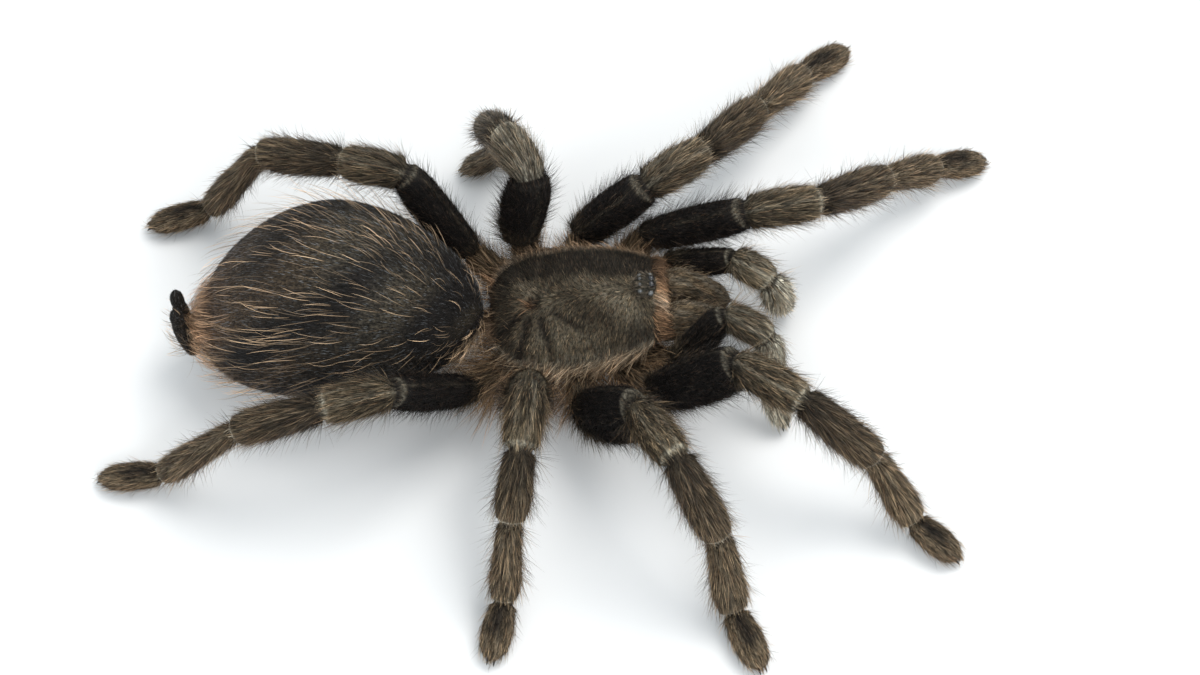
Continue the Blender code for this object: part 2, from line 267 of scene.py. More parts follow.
@dataclass(frozen=True)
class CoatFinish:
    """Colours of hair and of the skin below it, mixed by the marks dark, pale and rust.

    The scales are those of the noise that the colours read on the animal's own millimetres: of
    dark blotches, of streaks of pale hair, of locks that catch the light and of the fine nap.
    """

    name: str
    mid: COLOUR
    dark: COLOUR
    pale: COLOUR
    rust: COLOUR = RUST
    roughness: float = 0.55
    specular: float = 0.22
    skin: bool = False
    root_shade: float = 0.38
    tip_light: float = 1.42
    stray: COLOUR = RUST
    stray_share: float = 0.35
    stray_from: float = 0.80
    blotch_scale: float = 0.55
    streak_scale: float = 2.6
    lock_scale: float = 3.4
    nap_scale: float = 6.5
    nap_height: float = 0.12

    def colour(self, graph: Graph) -> Wire:
        """Colour of the coat's markings.

        Args:
            graph: the material's graph.

        Returns:
            The colour, the same on the skin and on the hair that grows there.
        """
        grain = graph.mark("grain", "Vector")
        blotch = graph.noise(grain, self.blotch_scale, 3.0)
        streak = graph.noise(grain, self.streak_scale, 2.0)
        tone = graph.mix(graph.smooth(blotch + streak * 0.6, 0.55, 1.05) * 0.35, self.mid, self.dark)
        tone = graph.mix(graph.mark("pale") * graph.smooth(streak, 0.25, 0.6), tone, self.pale)
        tone = graph.mix(graph.mark("rust"), tone, self.rust)
        tone = graph.mix(graph.mark("dark"), tone, self.dark)
        lock = graph.smooth(graph.noise(grain, self.lock_scale, 1.0), 0.32, 0.68)
        return graph.vector("SCALE", {0: tone, 3: 0.38 + lock * 1.15})

    def nap(self, graph: Graph, shader: bpy.types.Node, tone: Wire) -> Wire:
        """Give the skin its fine nap.

        Args:
            graph: the material's graph.
            shader: its shader node, which gets the nap's bump and roughness.
            tone: the coat's colour.

        Returns:
            The colour with the shade between the hairs of the nap.
        """
        nap = graph.noise(graph.mark("grain", "Vector"), self.nap_scale, 3.0)
        graph.feed(shader.inputs["Normal"], graph.bump(nap, 0.8, self.nap_height))
        graph.feed(shader.inputs["Roughness"], 0.62 + nap * 0.3)
        return graph.vector("SCALE", {0: tone, 3: 0.35 + nap * 0.55 + graph.mark("pale") * 0.35})

    def hair(self, graph: Graph, shader: bpy.types.Node, tone: Wire) -> Wire:
        """Give the hair its strays and its shade from root to tip.

        Args:
            graph: the material's graph.
            shader: its shader node, which gets each hair's roughness.
            tone: the coat's colour.

        Returns:
            The colour of each hair along its length.
        """
        chance, tip = graph.mark("chance"), graph.mark("tip")
        stray = graph.smooth(chance, self.stray_from, self.stray_from + 0.15)
        stray = stray * (1.2 - graph.mark("dark")) * (1.0 - graph.mark("rust")) * self.stray_share
        tone = graph.mix(stray, tone, self.stray)
        light = self.root_shade + tip * (self.tip_light - self.root_shade)
        graph.feed(shader.inputs["Roughness"], self.roughness + chance * 0.12)
        return graph.vector("SCALE", {0: tone, 3: light * (0.38 + chance * chance * 1.7)})

    def build(self) -> bpy.types.Material:
        """Make the material.

        Returns:
            The material, shaded as skin with a fine nap or as hair.
        """
        made, graph, shader = new_material(self.name)
        shader.inputs["Specular IOR Level"].default_value = self.specular
        shade = self.nap if self.skin else self.hair
        graph.feed(shader.inputs["Base Color"], shade(graph, shader, self.colour(graph)))
        return made


@dataclass(frozen=True)
class HornFinish:
    """Bare dark horn of fangs and claws, redder towards the root."""

    name: str
    colour: COLOUR
    root: COLOUR
    roughness: float
    ridge_scale: float = 3.0
    ridge_height: float = 0.03

    def build(self) -> bpy.types.Material:
        """Make the material.

        Returns:
            The horn material, with fine growth lines in its bump.
        """
        made, graph, shader = new_material(self.name)
        grain = graph.noise(graph.mark("grain", "Vector"), self.ridge_scale, 3.0)
        root_to_tip = graph.smooth(graph.mark("tip"), 0.0, 0.5)
        graph.feed(shader.inputs["Base Color"], graph.mix(root_to_tip, self.root, self.colour))
        graph.feed(shader.inputs["Roughness"], self.roughness + grain * 0.15)
        graph.feed(shader.inputs["Normal"], graph.bump(grain, 0.25, self.ridge_height))
        return made


@dataclass(frozen=True)
class EyeFinish:
    """Wet lens of an eye, dark or pearly."""

    name: str
    colour: COLOUR
    rim: COLOUR
    roughness: float = 0.22
    wet: float = 0.5
    wet_roughness: float = 0.08
    cloud_scale: float = 2.2

    def build(self) -> bpy.types.Material:
        """Make the material.

        Returns:
            The lens material, whose colour changes from its rim to its middle.
        """
        made, graph, shader = new_material(self.name)
        shader.inputs["Coat Weight"].default_value = self.wet
        shader.inputs["Coat Roughness"].default_value = self.wet_roughness
        cloud = graph.noise(graph.mark("grain", "Vector"), self.cloud_scale, 2.0)
        middle = graph.smooth(graph.mark("tip") + cloud * 0.3, 0.35, 0.95)
        graph.feed(shader.inputs["Base Color"], graph.mix(middle, self.rim, self.colour))
        graph.feed(shader.inputs["Roughness"], self.roughness + cloud * 0.05)
        return made


@dataclass(frozen=True)
class FloorFinish:
    """Plain pale matt floor."""

    name: str
    colour: COLOUR
    shade: COLOUR
    shade_share: float = 0.04
    shade_scale: float = 40.0
    roughness: float = 0.7
    specular: float = 0.2

    def build(self) -> bpy.types.Material:
        """Make the material.

        Returns:
            The floor's material.
        """
        made, graph, shader = new_material(self.name)
        shader.inputs["Specular IOR Level"].default_value = self.specular
        shader.inputs["Roughness"].default_value = self.roughness
        place = graph.out(graph.node("ShaderNodeTexCoord"), "Object")
        shade = graph.noise(place, self.shade_scale, 2.0) * self.shade_share
        graph.feed(shader.inputs["Base Color"], graph.mix(shade, self.colour, self.shade))
        return made


COAT = CoatFinish("coat", OLIVE, UMBER, SAND)
SKIN = CoatFinish("skin", OLIVE, UMBER, SAND, skin=True)
# painted sheen: the velvet's cool pale colour and its bluish stray flecks paint the bluish sheen and glints
# on the abdomen's nap
VELVET_AND_SHEEN = CoatFinish("velvet", (0.125, 0.098, 0.068), (0.015, 0.0125, 0.011), (0.30, 0.32, 0.33),
                    roughness=0.42, specular=0.4, stray=(0.30, 0.33, 0.36), stray_share=0.9)
GUARD = CoatFinish("guard_hair", (0.090, 0.066, 0.044), (0.022, 0.017, 0.013), (0.360, 0.290, 0.195),
                   roughness=0.42, specular=0.4, root_shade=0.7, tip_light=1.5)
TAN = CoatFinish("tan_hair", (0.480, 0.355, 0.205), (0.060, 0.045, 0.032), (0.750, 0.660, 0.500),
                 roughness=0.42, specular=0.4, root_shade=0.40, tip_light=1.35)
LONG_RUST = CoatFinish("long_rusty_hair", (0.740, 0.530, 0.340), (0.600, 0.420, 0.260), (0.82, 0.68, 0.50),
                       (0.66, 0.29, 0.13), roughness=0.38, specular=0.5, root_shade=0.45, tip_light=1.4,
                       stray_share=0.5)
FRINGE = CoatFinish("fringe_hair", (0.430, 0.310, 0.190), (0.120, 0.085, 0.055), (0.680, 0.580, 0.420),
                    (0.520, 0.260, 0.130), roughness=0.45, root_shade=0.45, tip_light=1.35, stray_share=0.5)
BRIM = CoatFinish("brim_hair", (0.800, 0.460, 0.235), (0.110, 0.068, 0.045), (0.940, 0.830, 0.650),
                  (0.480, 0.200, 0.090), roughness=0.45, root_shade=0.75, tip_light=1.15, stray_share=0.5)
HORN = HornFinish("horn", (0.012, 0.009, 0.009), (0.045, 0.015, 0.010), roughness=0.16)
DARK_LENS = EyeFinish("dark_lens", (0.006, 0.006, 0.009), (0.020, 0.018, 0.018))
PEARL_LENS = EyeFinish("pearl_lens", (0.115, 0.122, 0.124), (0.012, 0.011, 0.011))
FLOOR = FloorFinish("floor", (0.86, 0.87, 0.88), (0.80, 0.82, 0.84))


# ---- places and curves
@dataclass(frozen=True)
class Ground:
    """Where the animal stands in the scene, read from the carapace's solid."""

    middle: float
    rear: float

    @classmethod
    def from_frame(cls) -> "Ground":
        """Read the carapace's middle and rear edge from the frame."""
        low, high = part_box("carapace")
        return cls((low.x + high.x) / 2, high.y)

    def at(self, forward: float, left: float, up: float) -> Vector:
        """Scene point of a place on the animal."""
        return Vector((self.middle + left * MM, self.rear - forward * MM, up * MM))

    def points(self, forward: ARRAY, left: ARRAY, up: ARRAY) -> ARRAY:
        """Scene points of places on the animal, along a last axis of their own."""
        return stacked(self.middle + left * MM, self.rear - forward * MM, up * MM)


GROUND = Ground.from_frame()


def aim(heading: float, rise: float) -> Vector:
    """Unit direction in the scene of a heading and a rise in degrees."""
    turn, lift = math.radians(heading), math.radians(rise)
    return Vector((math.sin(turn) * math.cos(lift), -math.cos(turn) * math.cos(lift), math.sin(lift)))


def bell(distance: ARRAY, width: float) -> ARRAY:
    """Bell curve that is one at no distance."""
    return np.exp(-(distance / width) ** 2)


def step(value: ARRAY, low: float, high: float) -> ARRAY:
    """Smooth step from zero at low to one at high."""
    share = np.clip((value - low) / (high - low), 0.0, 1.0)
    return share * share * (3.0 - 2.0 * share)


def turns(count: int) -> ARRAY:
    """Angles of the corners of a ring, from minus half a turn up."""
    return np.linspace(-math.pi, math.pi, count, endpoint=False)


def unit(vectors: ARRAY, least: float = 1e-9) -> ARRAY:
    """Vectors of length one along the last axis, or shorter where they were shorter than least."""
    return vectors / np.maximum(np.linalg.norm(vectors, axis=-1, keepdims=True), least)


def stacked(first: ARRAY, second: ARRAY, third: ARRAY) -> ARRAY:
    """Three values, broadcast to one shape, along a last axis of their own."""
    return np.stack(np.broadcast_arrays(first, second, third), axis=-1)


def marked(fields: MARKS, shape: tuple[int, ...]) -> MARKS:
    """Marks over a whole shape, with the shares of the colours kept from 0 to 1."""
    colours = ("dark", "pale", "rust")
    return {name: np.broadcast_to(np.clip(values, 0.0, 1.0) if name in colours else values, shape)
            for name, values in fields.items()}


@dataclass(frozen=True)
class Profile:
    """Smooth curve through (part, value) knots."""

    knots: tuple[tuple[float, float], ...]

    def at(self, part: ARRAY) -> ARRAY:
        """Read the curve.

        Args:
            part: where to read it, on the scale of the knots.

        Returns:
            The values there.
        """
        places, values = np.array(self.knots).T
        slopes = np.gradient(values, places)
        i = np.clip(np.searchsorted(places, part) - 1, 0, len(places) - 2)
        wide = places[i + 1] - places[i]
        t = np.clip((part - places[i]) / wide, 0.0, 1.0)
        near = (1 + 2 * t) * (1 - t) ** 2 * values[i] + t * (1 - t) ** 2 * wide * slopes[i]
        far = t * t * (3 - 2 * t) * values[i + 1] + t * t * (t - 1) * wide * slopes[i + 1]
        return near + far


def wobble(first: ARRAY, second: ARRAY, seed: int) -> ARRAY:
    """Slow uneven waves from -1 to 1 over two coordinates in radians."""
    draw = np.random.default_rng(seed)
    total = np.zeros(np.broadcast(first, second).shape)
    for _ in range(6):
        a, b, shift = draw.uniform(0.6, 2.4), draw.integers(1, 4), draw.uniform(0, math.tau)
        total = total + np.sin(a * first + b * second + shift)
    return total / 3.5


# ---- skin
@dataclass
class Loft:
    """A closed tube of skin with what its hair needs to know.

    rings holds (ring, corner, xyz) in metres, grain the same in the tube's own millimetres,
    with its length drawn together, and marks one value for each ring and corner.
    """

    zone: int
    rings: ARRAY
    grain: ARRAY
    marks: MARKS

    POLE_PLACE = 0.4     # how far past its last ring a pole lies on the unrolled tube

    def size(self) -> tuple[float, float]:
        """Length and girth of the tube in millimetres."""
        middle = self.rings.mean(axis=1)
        length = np.linalg.norm(np.diff(middle, axis=0), axis=1).sum()
        around = np.linalg.norm(np.roll(self.rings, -1, axis=1) - self.rings, axis=2).sum(axis=1).max()
        return length / MM, around / MM

    def flow(self) -> ARRAY:
        """Way in which the hair lies, along the tube unless its marks say otherwise."""
        return self.marks["lie"] if "lie" in self.marks else unit(np.gradient(self.rings, axis=0))

    def mark(self, name: str) -> ARRAY:
        """Values of a mark, or of the zone, at each ring and corner."""
        value = self.zone if name == "zone" else self.marks.get(name, Mark(name).usual)
        return np.broadcast_to(np.asarray(value, float), self.rings.shape[:2])

    @staticmethod
    def with_poles(values: ARRAY) -> ARRAY:
        """Values of the tube's vertices: those of its corners and the mean of each end ring."""
        flat = values.reshape(-1, *values.shape[2:])
        return np.concatenate([flat, [values[0].mean(axis=0), values[-1].mean(axis=0)]])

    def sides(self) -> tuple[ARRAY, ARRAY]:
        """Four-sided faces along the tube: their vertices, and where these lie on the unrolled tube."""
        rings, around, _ = self.rings.shape
        ring, corner = np.meshgrid(np.arange(rings - 1), np.arange(around), indexing="ij")
        start = np.stack([ring.ravel(), corner.ravel()], axis=1)
        places = start[:, None, :] + np.array([(0, 0), (0, 1), (1, 1), (1, 0)])
        return places[..., 0] * around + places[..., 1] % around, places.astype(float)

    def caps(self) -> tuple[ARRAY, ARRAY]:
        """Three-sided faces that close both ends of the tube round its poles, as for its sides."""
        rings, around, _ = self.rings.shape
        corner = np.arange(around)
        ends = ((0, -self.POLE_PLACE, 1), (rings - 1, self.POLE_PLACE, 0))
        corners, places = [], []
        for pole, (ring, outwards, first) in enumerate(ends):
            here, there = corner + first, corner + 1 - first
            base = ring * around
            corners.append(np.stack([np.full(around, rings * around + pole), base + here % around,
                                     base + there % around], axis=1))
            places.append(np.stack([np.stack([np.full(around, ring + outwards), corner + 0.5], axis=1),
                                    np.stack([np.full(around, ring), here], axis=1),
                                    np.stack([np.full(around, ring), there], axis=1)], axis=1))
        return np.concatenate(corners), np.concatenate(places)

    def faces(self) -> list[tuple[ARRAY, ARRAY]]:
        """Sides and caps, turned round if the tube would face inwards."""
        kinds = [self.sides(), self.caps()]
        corners = kinds[0][0]
        flat = self.rings.reshape(-1, 3)
        start = flat[corners[:, 0]]
        normal = np.cross(flat[corners[:, 1]] - start, flat[corners[:, 3]] - start)
        outwards = start - self.rings.mean(axis=1)[corners[:, 0] // self.rings.shape[1]]
        if (outwards * normal).sum() < 0:
            kinds = [(corners[:, ::-1], places[:, ::-1]) for corners, places in kinds]
        return kinds


@dataclass(frozen=True)
class Cell:
    """Rectangle on an unwrap."""

    u: float
    v: float
    wide: float
    high: float

    def spread(self, parts: ARRAY) -> ARRAY:
        """Places on the unwrap of parts, from 0 to 1, of the rectangle."""
        return parts * [self.wide, self.high] + [self.u, self.v]


@dataclass
class Shell:
    """A mesh put together from lofts, with marks for its material and coat."""

    name: str
    lofts: list[Loft] = field(default_factory=list)

    ROW_SLACK = 1.15     # length of a row on the unwrap against the side of the least square
    GAP = 0.008          # space between the rectangles, as a part of a row
    BORDER = 0.02        # space before a loft on its zone's unwrap, as a part of its column
    FILL = 0.95          # part of its column that it fills

    def cells(self) -> list[Cell]:
        """Lay the lofts out on one square, in rows, the widest first.

        Returns:
            Each loft's rectangle.
        """
        sizes = [loft.size() for loft in self.lofts]
        order = sorted(range(len(sizes)), key=lambda i: -sizes[i][1])
        row_length = math.sqrt(sum(wide * high for wide, high in sizes)) * self.ROW_SLACK
        row_length = max(row_length, max(wide for wide, _ in sizes))
        gap = row_length * self.GAP
        places, u, v, row = {}, gap, gap, 0.0
        for i in order:
            wide, high = sizes[i]
            if u + wide > row_length + gap and u > gap:
                u, v, row = gap, v + row + gap, 0.0
            places[i] = (u, v)
            u, row = u + wide + gap, max(row, high)
        scale = np.array([1.0 / (row_length + 2 * gap), 1.0 / (v + row + gap)])
        return [Cell(*(places[i] * scale), *(sizes[i] * scale)) for i in range(len(sizes))]

    def zone_cells(self) -> list[Cell]:
        """Lay the lofts of each zone out on a square of its own.

        Returns:
            Each loft's rectangle on its zone's square.
        """
        found = []
        for i, loft in enumerate(self.lofts):
            mates = [j for j, other in enumerate(self.lofts) if other.zone == loft.zone]
            columns = math.ceil(math.sqrt(len(mates)))
            rows = math.ceil(len(mates) / columns)
            row, column = divmod(mates.index(i), columns)
            found.append(Cell((self.BORDER + column) / columns, (self.BORDER + row) / rows,
                              self.FILL / columns, self.FILL / rows))
        return found

    def mesh(self) -> bpy.types.Mesh:
        """Make the mesh with its map OFBake and the attributes that the coat and finish read.

        Returns:
            The mesh, without a material.
        """
        faces, bake, unwrap = [], [], []
        base = 0
        for loft, cell, own in zip(self.lofts, self.cells(), self.zone_cells()):
            kinds = loft.faces()
            for corners, _ in kinds:
                faces += (corners + base).tolist()
            places = np.concatenate([places.reshape(-1, 2) for _, places in kinds])
            parts = (places + [0.5, 0.0]) / loft.rings.shape[:2]
            bake.append(cell.spread(parts))
            unwrap.append(own.spread(parts))
            base += loft.rings.shape[0] * loft.rings.shape[1] + 2
        mesh = bpy.data.meshes.new(self.name)
        mesh.from_pydata(self.gather(lambda loft: loft.rings).tolist(), [], faces)
        mesh.shade_smooth()
        uv = mesh.uv_layers.new(name="OFBake")
        uv.uv.foreach_set("vector", np.vstack(bake).astype(np.float32).ravel())
        corner_places = np.vstack(unwrap)
        level = np.zeros(len(corner_places))
        self.store(mesh, "unwrap", "FLOAT_VECTOR", "CORNER", np.column_stack([corner_places, level]))
        self.store(mesh, "lie", "FLOAT_VECTOR", "POINT", self.lie(mesh))
        self.store(mesh, "grain", "FLOAT_VECTOR", "POINT", self.gather(lambda loft: loft.grain))
        for name in (*(mark.value for mark in Mark), "zone"):
            self.store(mesh, name, "FLOAT", "POINT", self.gather(lambda loft: loft.mark(name)))
        return mesh

    def gather(self, read: Callable[[Loft], ARRAY]) -> ARRAY:
        """Values of all vertices, poles included, that a function reads from each loft."""
        return np.concatenate([Loft.with_poles(read(loft)) for loft in self.lofts])

    def lie(self, mesh: bpy.types.Mesh) -> ARRAY:
        """Way in which the hair lies at each vertex, laid flat on the surface."""
        normals = np.zeros(len(mesh.vertices) * 3)
        mesh.vertex_normals.foreach_get("vector", normals)
        normals = normals.reshape(-1, 3)
        flow = self.gather(Loft.flow)
        return unit(flow - normals * (flow * normals).sum(axis=1, keepdims=True), 1e-6)

    def build(self, material: bpy.types.Material) -> bpy.types.Object:
        """Make the mesh object.

        Args:
            material: its finish.

        Returns:
            The object.
        """
        mesh = self.mesh()
        mesh.materials.append(material)
        LOG.info("%s: %d lofts, %d faces", self.name, len(self.lofts), len(mesh.polygons))
        return linked(self.name, mesh)

    @staticmethod
    def store(mesh: bpy.types.Mesh, name: str, kind: str, domain: str, values: ARRAY) -> None:
        """Put an attribute on a mesh."""
        layer = mesh.attributes.new(name, kind, domain)
        key = "vector" if kind == "FLOAT_VECTOR" else "value"
        layer.data.foreach_set(key, values.astype(np.float32).ravel())


def linked(name: str, data: bpy.types.ID) -> bpy.types.Object:
    """Make an object of a mesh, light or camera and put it in the scene."""
    made = bpy.data.objects.new(name, data)
    bpy.context.scene.collection.objects.link(made)
    return made


def ride_as(piece: bpy.types.Object, slot: str, *nodes: str) -> None:
    """Let a piece ride on the root body and stand for its solids."""
    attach(piece, "root")
    if nodes:
        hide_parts(*nodes)


# ---- limbs
@dataclass(frozen=True)
class Marking:
    """Hair of a limb piece.

    dark, pale and rust are shares of its colours, ring its pale ring at the far end, stripe the
    pair of pale lines along it, ridge the pale line on its crest and back the dark line there.
    nap is the length of its short hair and below how much longer that is underneath. guard, tan
    and tuft are densities of its long hair.
    """

    dark: float = 0.0
    pale: float = 0.0
    rust: float = 0.0
    ring: float = 0.0
    stripe: float = 0.0
    ridge: float = 0.0
    back: float = 0.0
    nap: float = 1.0
    below: float = 1.0
    guard: float = 0.5
    tan: float = 0.0
    tuft: float = 0.0


LEG_MARKINGS = {
    Piece.COXA: Marking(dark=0.45, rust=0.20, nap=1.6, guard=1.6, tan=0.5, tuft=1.5),
    Piece.FEMUR: Marking(dark=1.0, ring=0.36, ridge=0.22, nap=0.85, below=2.0, guard=1.3, tan=0.06),
    Piece.PATELLA: Marking(dark=0.40, pale=0.02, ring=0.46, stripe=0.46, below=1.4, guard=0.8, tan=1.2),
    Piece.TIBIA: Marking(dark=0.54, rust=0.12, ring=0.95, stripe=0.20, below=1.6, guard=1.0, tan=1.1),
    Piece.METATARSUS: Marking(dark=0.16, pale=0.06, rust=0.15, ring=0.95, stripe=0.12, below=1.4, guard=0.8,
                              tan=1.0),
    Piece.TARSUS: Marking(dark=0.0, pale=0.10, rust=0.20, back=0.92, nap=0.75, guard=0.3, tan=1.0),
}
PALP_MARKINGS = {
    Piece.COXA: Marking(dark=0.45, rust=0.20, nap=1.4, guard=0.6, tan=0.5, tuft=1.0),
    Piece.FEMUR: Marking(dark=0.97, ring=0.45, ridge=0.25, nap=0.85, below=1.7, guard=0.7, tan=0.15),
    Piece.PATELLA: Marking(dark=0.16, pale=0.10, ring=0.50, stripe=0.6, guard=0.7, tan=0.8),
    Piece.TIBIA: Marking(pale=0.90, ring=0.3, stripe=0.4, guard=0.8, tan=1.0),
    Piece.TARSUS: Marking(pale=1.0, nap=0.9, guard=0.6, tan=1.0),
}
LENGTHS = {
    Kind.LEG_1: (9.6, 16.1, 9.6, 12.8, 10.6, 6.9),
    Kind.LEG_2: (8.9, 13.6, 10.6, 12.2, 10.9, 7.6),
    Kind.LEG_3: (8.1, 13.6, 8.1, 9.4, 10.9, 7.1),
    Kind.LEG_4: (9.3, 17.2, 8.8, 12.4, 14.8, 7.8),
    Kind.PALP: (7.8, 10.8, 6.3, 7.4, 6.0),
}
HALF_SIZES = {
    Kind.LEG_1: ((2.0, 1.85), (2.50, 3.70), (2.45, 2.6), (2.35, 2.65), (2.2, 2.2), (2.15, 1.75)),
    Kind.LEG_2: ((2.0, 1.85), (2.75, 3.95), (2.5, 2.65), (2.4, 2.7), (2.3, 2.3), (2.2, 1.8)),
    Kind.LEG_3: ((2.0, 1.85), (3.0, 3.2), (2.5, 2.6), (2.3, 2.45), (2.1, 2.1), (2.15, 1.75)),
    Kind.LEG_4: ((2.0, 1.85), (2.4, 2.9), (2.4, 2.5), (2.3, 2.5), (1.95, 2.0), (2.05, 1.7)),
    Kind.PALP: ((1.6, 1.7), (1.75, 2.2), (2.2, 2.3), (2.15, 2.2), (1.8, 1.65)),
}
FULLNESS = {
    Piece.COXA: Profile(((0.0, 0.66), (0.45, 0.94), (1.0, 0.92))),
    Piece.FEMUR: Profile(((0.0, 0.74), (0.22, 0.90), (0.50, 1.0), (0.80, 0.95), (1.0, 0.84))),
    Piece.PATELLA: Profile(((0.0, 0.88), (0.35, 1.0), (0.75, 0.98), (1.0, 0.88))),
    Piece.TIBIA: Profile(((0.0, 0.86), (0.30, 0.96), (0.72, 1.0), (1.0, 0.86))),
    Piece.METATARSUS: Profile(((0.0, 0.82), (0.35, 0.91), (0.76, 1.0), (1.0, 0.84))),
    Piece.TARSUS: Profile(((0.0, 0.82), (0.38, 1.0), (0.66, 0.97), (0.84, 0.82), (0.95, 0.52),
                           (1.0, 0.16))),
}
ROOTS = {
    Kind.LEG_1: (13.8, 3.9, 5.4),
    Kind.LEG_2: (10.9, 4.5, 5.4),
    Kind.LEG_3: (7.9, 4.5, 5.4),
    Kind.LEG_4: (4.9, 3.9, 5.4),
    Kind.PALP: (16.6, 2.3, 5.2),
}
# heading and rise of each piece; the last piece has a heading alone and reaches the floor
STANCE = {
    (Side.LEFT, Kind.LEG_1): ((50, 10), (-14, 38), (12, -8), (36, -29), (36, -35), 16),
    (Side.LEFT, Kind.LEG_2): ((86, -7), (3, 51), (42, -18), (48, -19), (50, -24), 39),
    (Side.LEFT, Kind.LEG_3): ((120, 13), (15, 80), (116, -3), (112, -52), (45, -66), -160),
    (Side.LEFT, Kind.LEG_4): ((140, 11), (160, 63), (157, -14), (156, -23), (-178, -59), -172),
    (Side.RIGHT, Kind.LEG_1): ((-49, 7), (-17, 50), (-38, 6), (-23, -43), (-44, -51), -41),
    (Side.RIGHT, Kind.LEG_2): ((-88, 8), (-41, 50), (-65, 25), (-52, -50), (-74, -59), -66),
    (Side.RIGHT, Kind.LEG_3): ((-117, 12), (-85, 68), (-99, -4), (-105, -48), (-101, -54), -105),
    (Side.RIGHT, Kind.LEG_4): ((-141, 9), (-144, 48), (-168, 1), (177, -29), (179, -48), 176),
    (Side.LEFT, Kind.PALP): ((42, 13), (-22, 33), (-42, 8), (60, -78), 66),
    (Side.RIGHT, Kind.PALP): ((-41, 13), (20, 50), (-25, -20), (-90, -65), -58),
}


# numbers of a limb's pieces, of those that have stripes, of those that darken towards the body,
# and of the bend at the knee
ROOT_PIECE = 0
FEMUR_PIECE = 1
SHANK_PIECES = (2, 3)
SHADED_PIECES = (2, 3, 4)
KNEE = 2


@dataclass(frozen=True)
class Spots:
    """Where the rings and corners of a limb's tube lie on its pieces.

    run is each ring's length along the limb in millimetres, bends that of the middle of each
    bend, number that of the ring's piece, along its part of that piece and turn each corner's
    angle from the back of the limb.
    """

    run: ARRAY
    bends: ARRAY
    number: ARRAY
    along: ARRAY
    turn: ARRAY

    @property
    def to_end(self) -> ARRAY:
        """Length from each ring to the far bend of its piece; a foot has none."""
        last = self.number == len(self.bends) - 2
        return (self.bends[self.number + 1] - self.run + 99.0 * last)[:, None]

    @property
    def to_seam(self) -> ARRAY:
        """Length from each ring to the nearer bend of its piece."""
        return np.minimum(np.abs(self.run - self.bends[self.number])[:, None], self.to_end)

    @property
    def away(self) -> ARRAY:
        """Angle of each corner from the back of the limb, without its sign."""
        return np.abs(self.turn)

    @property
    def below(self) -> ARRAY:
        """Share of the limb's underside."""
        return step(self.away, 1.5, 2.6)

    def on(self, *numbers: int) -> ARRAY:
        """One on the rings of the pieces with these numbers and zero on the others."""
        return np.isin(self.number, numbers).astype(float)[:, None]


def circle(centre: Vector, level: Vector, top: Vector, turn: ARRAY, radius: float) -> ARRAY:
    """Corners of a round ring in the scene, from its middle, two directions and a radius."""
    side = np.outer(np.sin(turn), np.array(level))
    lift = np.outer(np.cos(turn), np.array(top))
    return np.array(centre) + (side + lift) * radius * MM


@dataclass(frozen=True)
class Horn:
    """Curved tapering horn.

    curl says how far it turns from its root to its point, and radii are those between the two.
    """

    length: float
    curl: float
    radii: tuple[float, ...]
    drop: bool = True
    rows: int = 14
    around: int = 12

    def loft(self, zone: int, root: Vector, heading: Vector, across: Vector) -> Loft:
        """Make the horn's tube.

        Args:
            zone: the zone it belongs to.
            root: where it starts, in the scene.
            heading: direction at its root.
            across: level direction that it curls about, downwards if it is to drop.

        Returns:
            The tube, marked from its root to its point.
        """
        turn = turns(self.around)
        profile = Profile(tuple(zip(np.linspace(0, 1, len(self.radii)), self.radii)))
        up = across.cross(heading).normalized()
        if up.z < 0:
            up = -up
        rings, grain = [], []
        place = root.copy()
        for part in np.linspace(0.0, 1.0, self.rows):
            bend = math.radians(self.curl * part) * (-1.0 if self.drop else 1.0)
            ahead = heading * math.cos(bend) + up * math.sin(bend)
            top = up * math.cos(bend) - heading * math.sin(bend)
            radius = float(profile.at(np.array([part]))[0])
            rings.append(circle(place, across, top, turn, radius))
            grain.append(stacked(part * self.length, np.sin(turn) * radius, np.cos(turn) * radius))
            place = place + ahead * (self.length / (self.rows - 1) * MM)
        tip = np.linspace(0, 1, self.rows)[:, None]
        return Loft(zone, np.array(rings), np.array(grain), {"tip": tip})


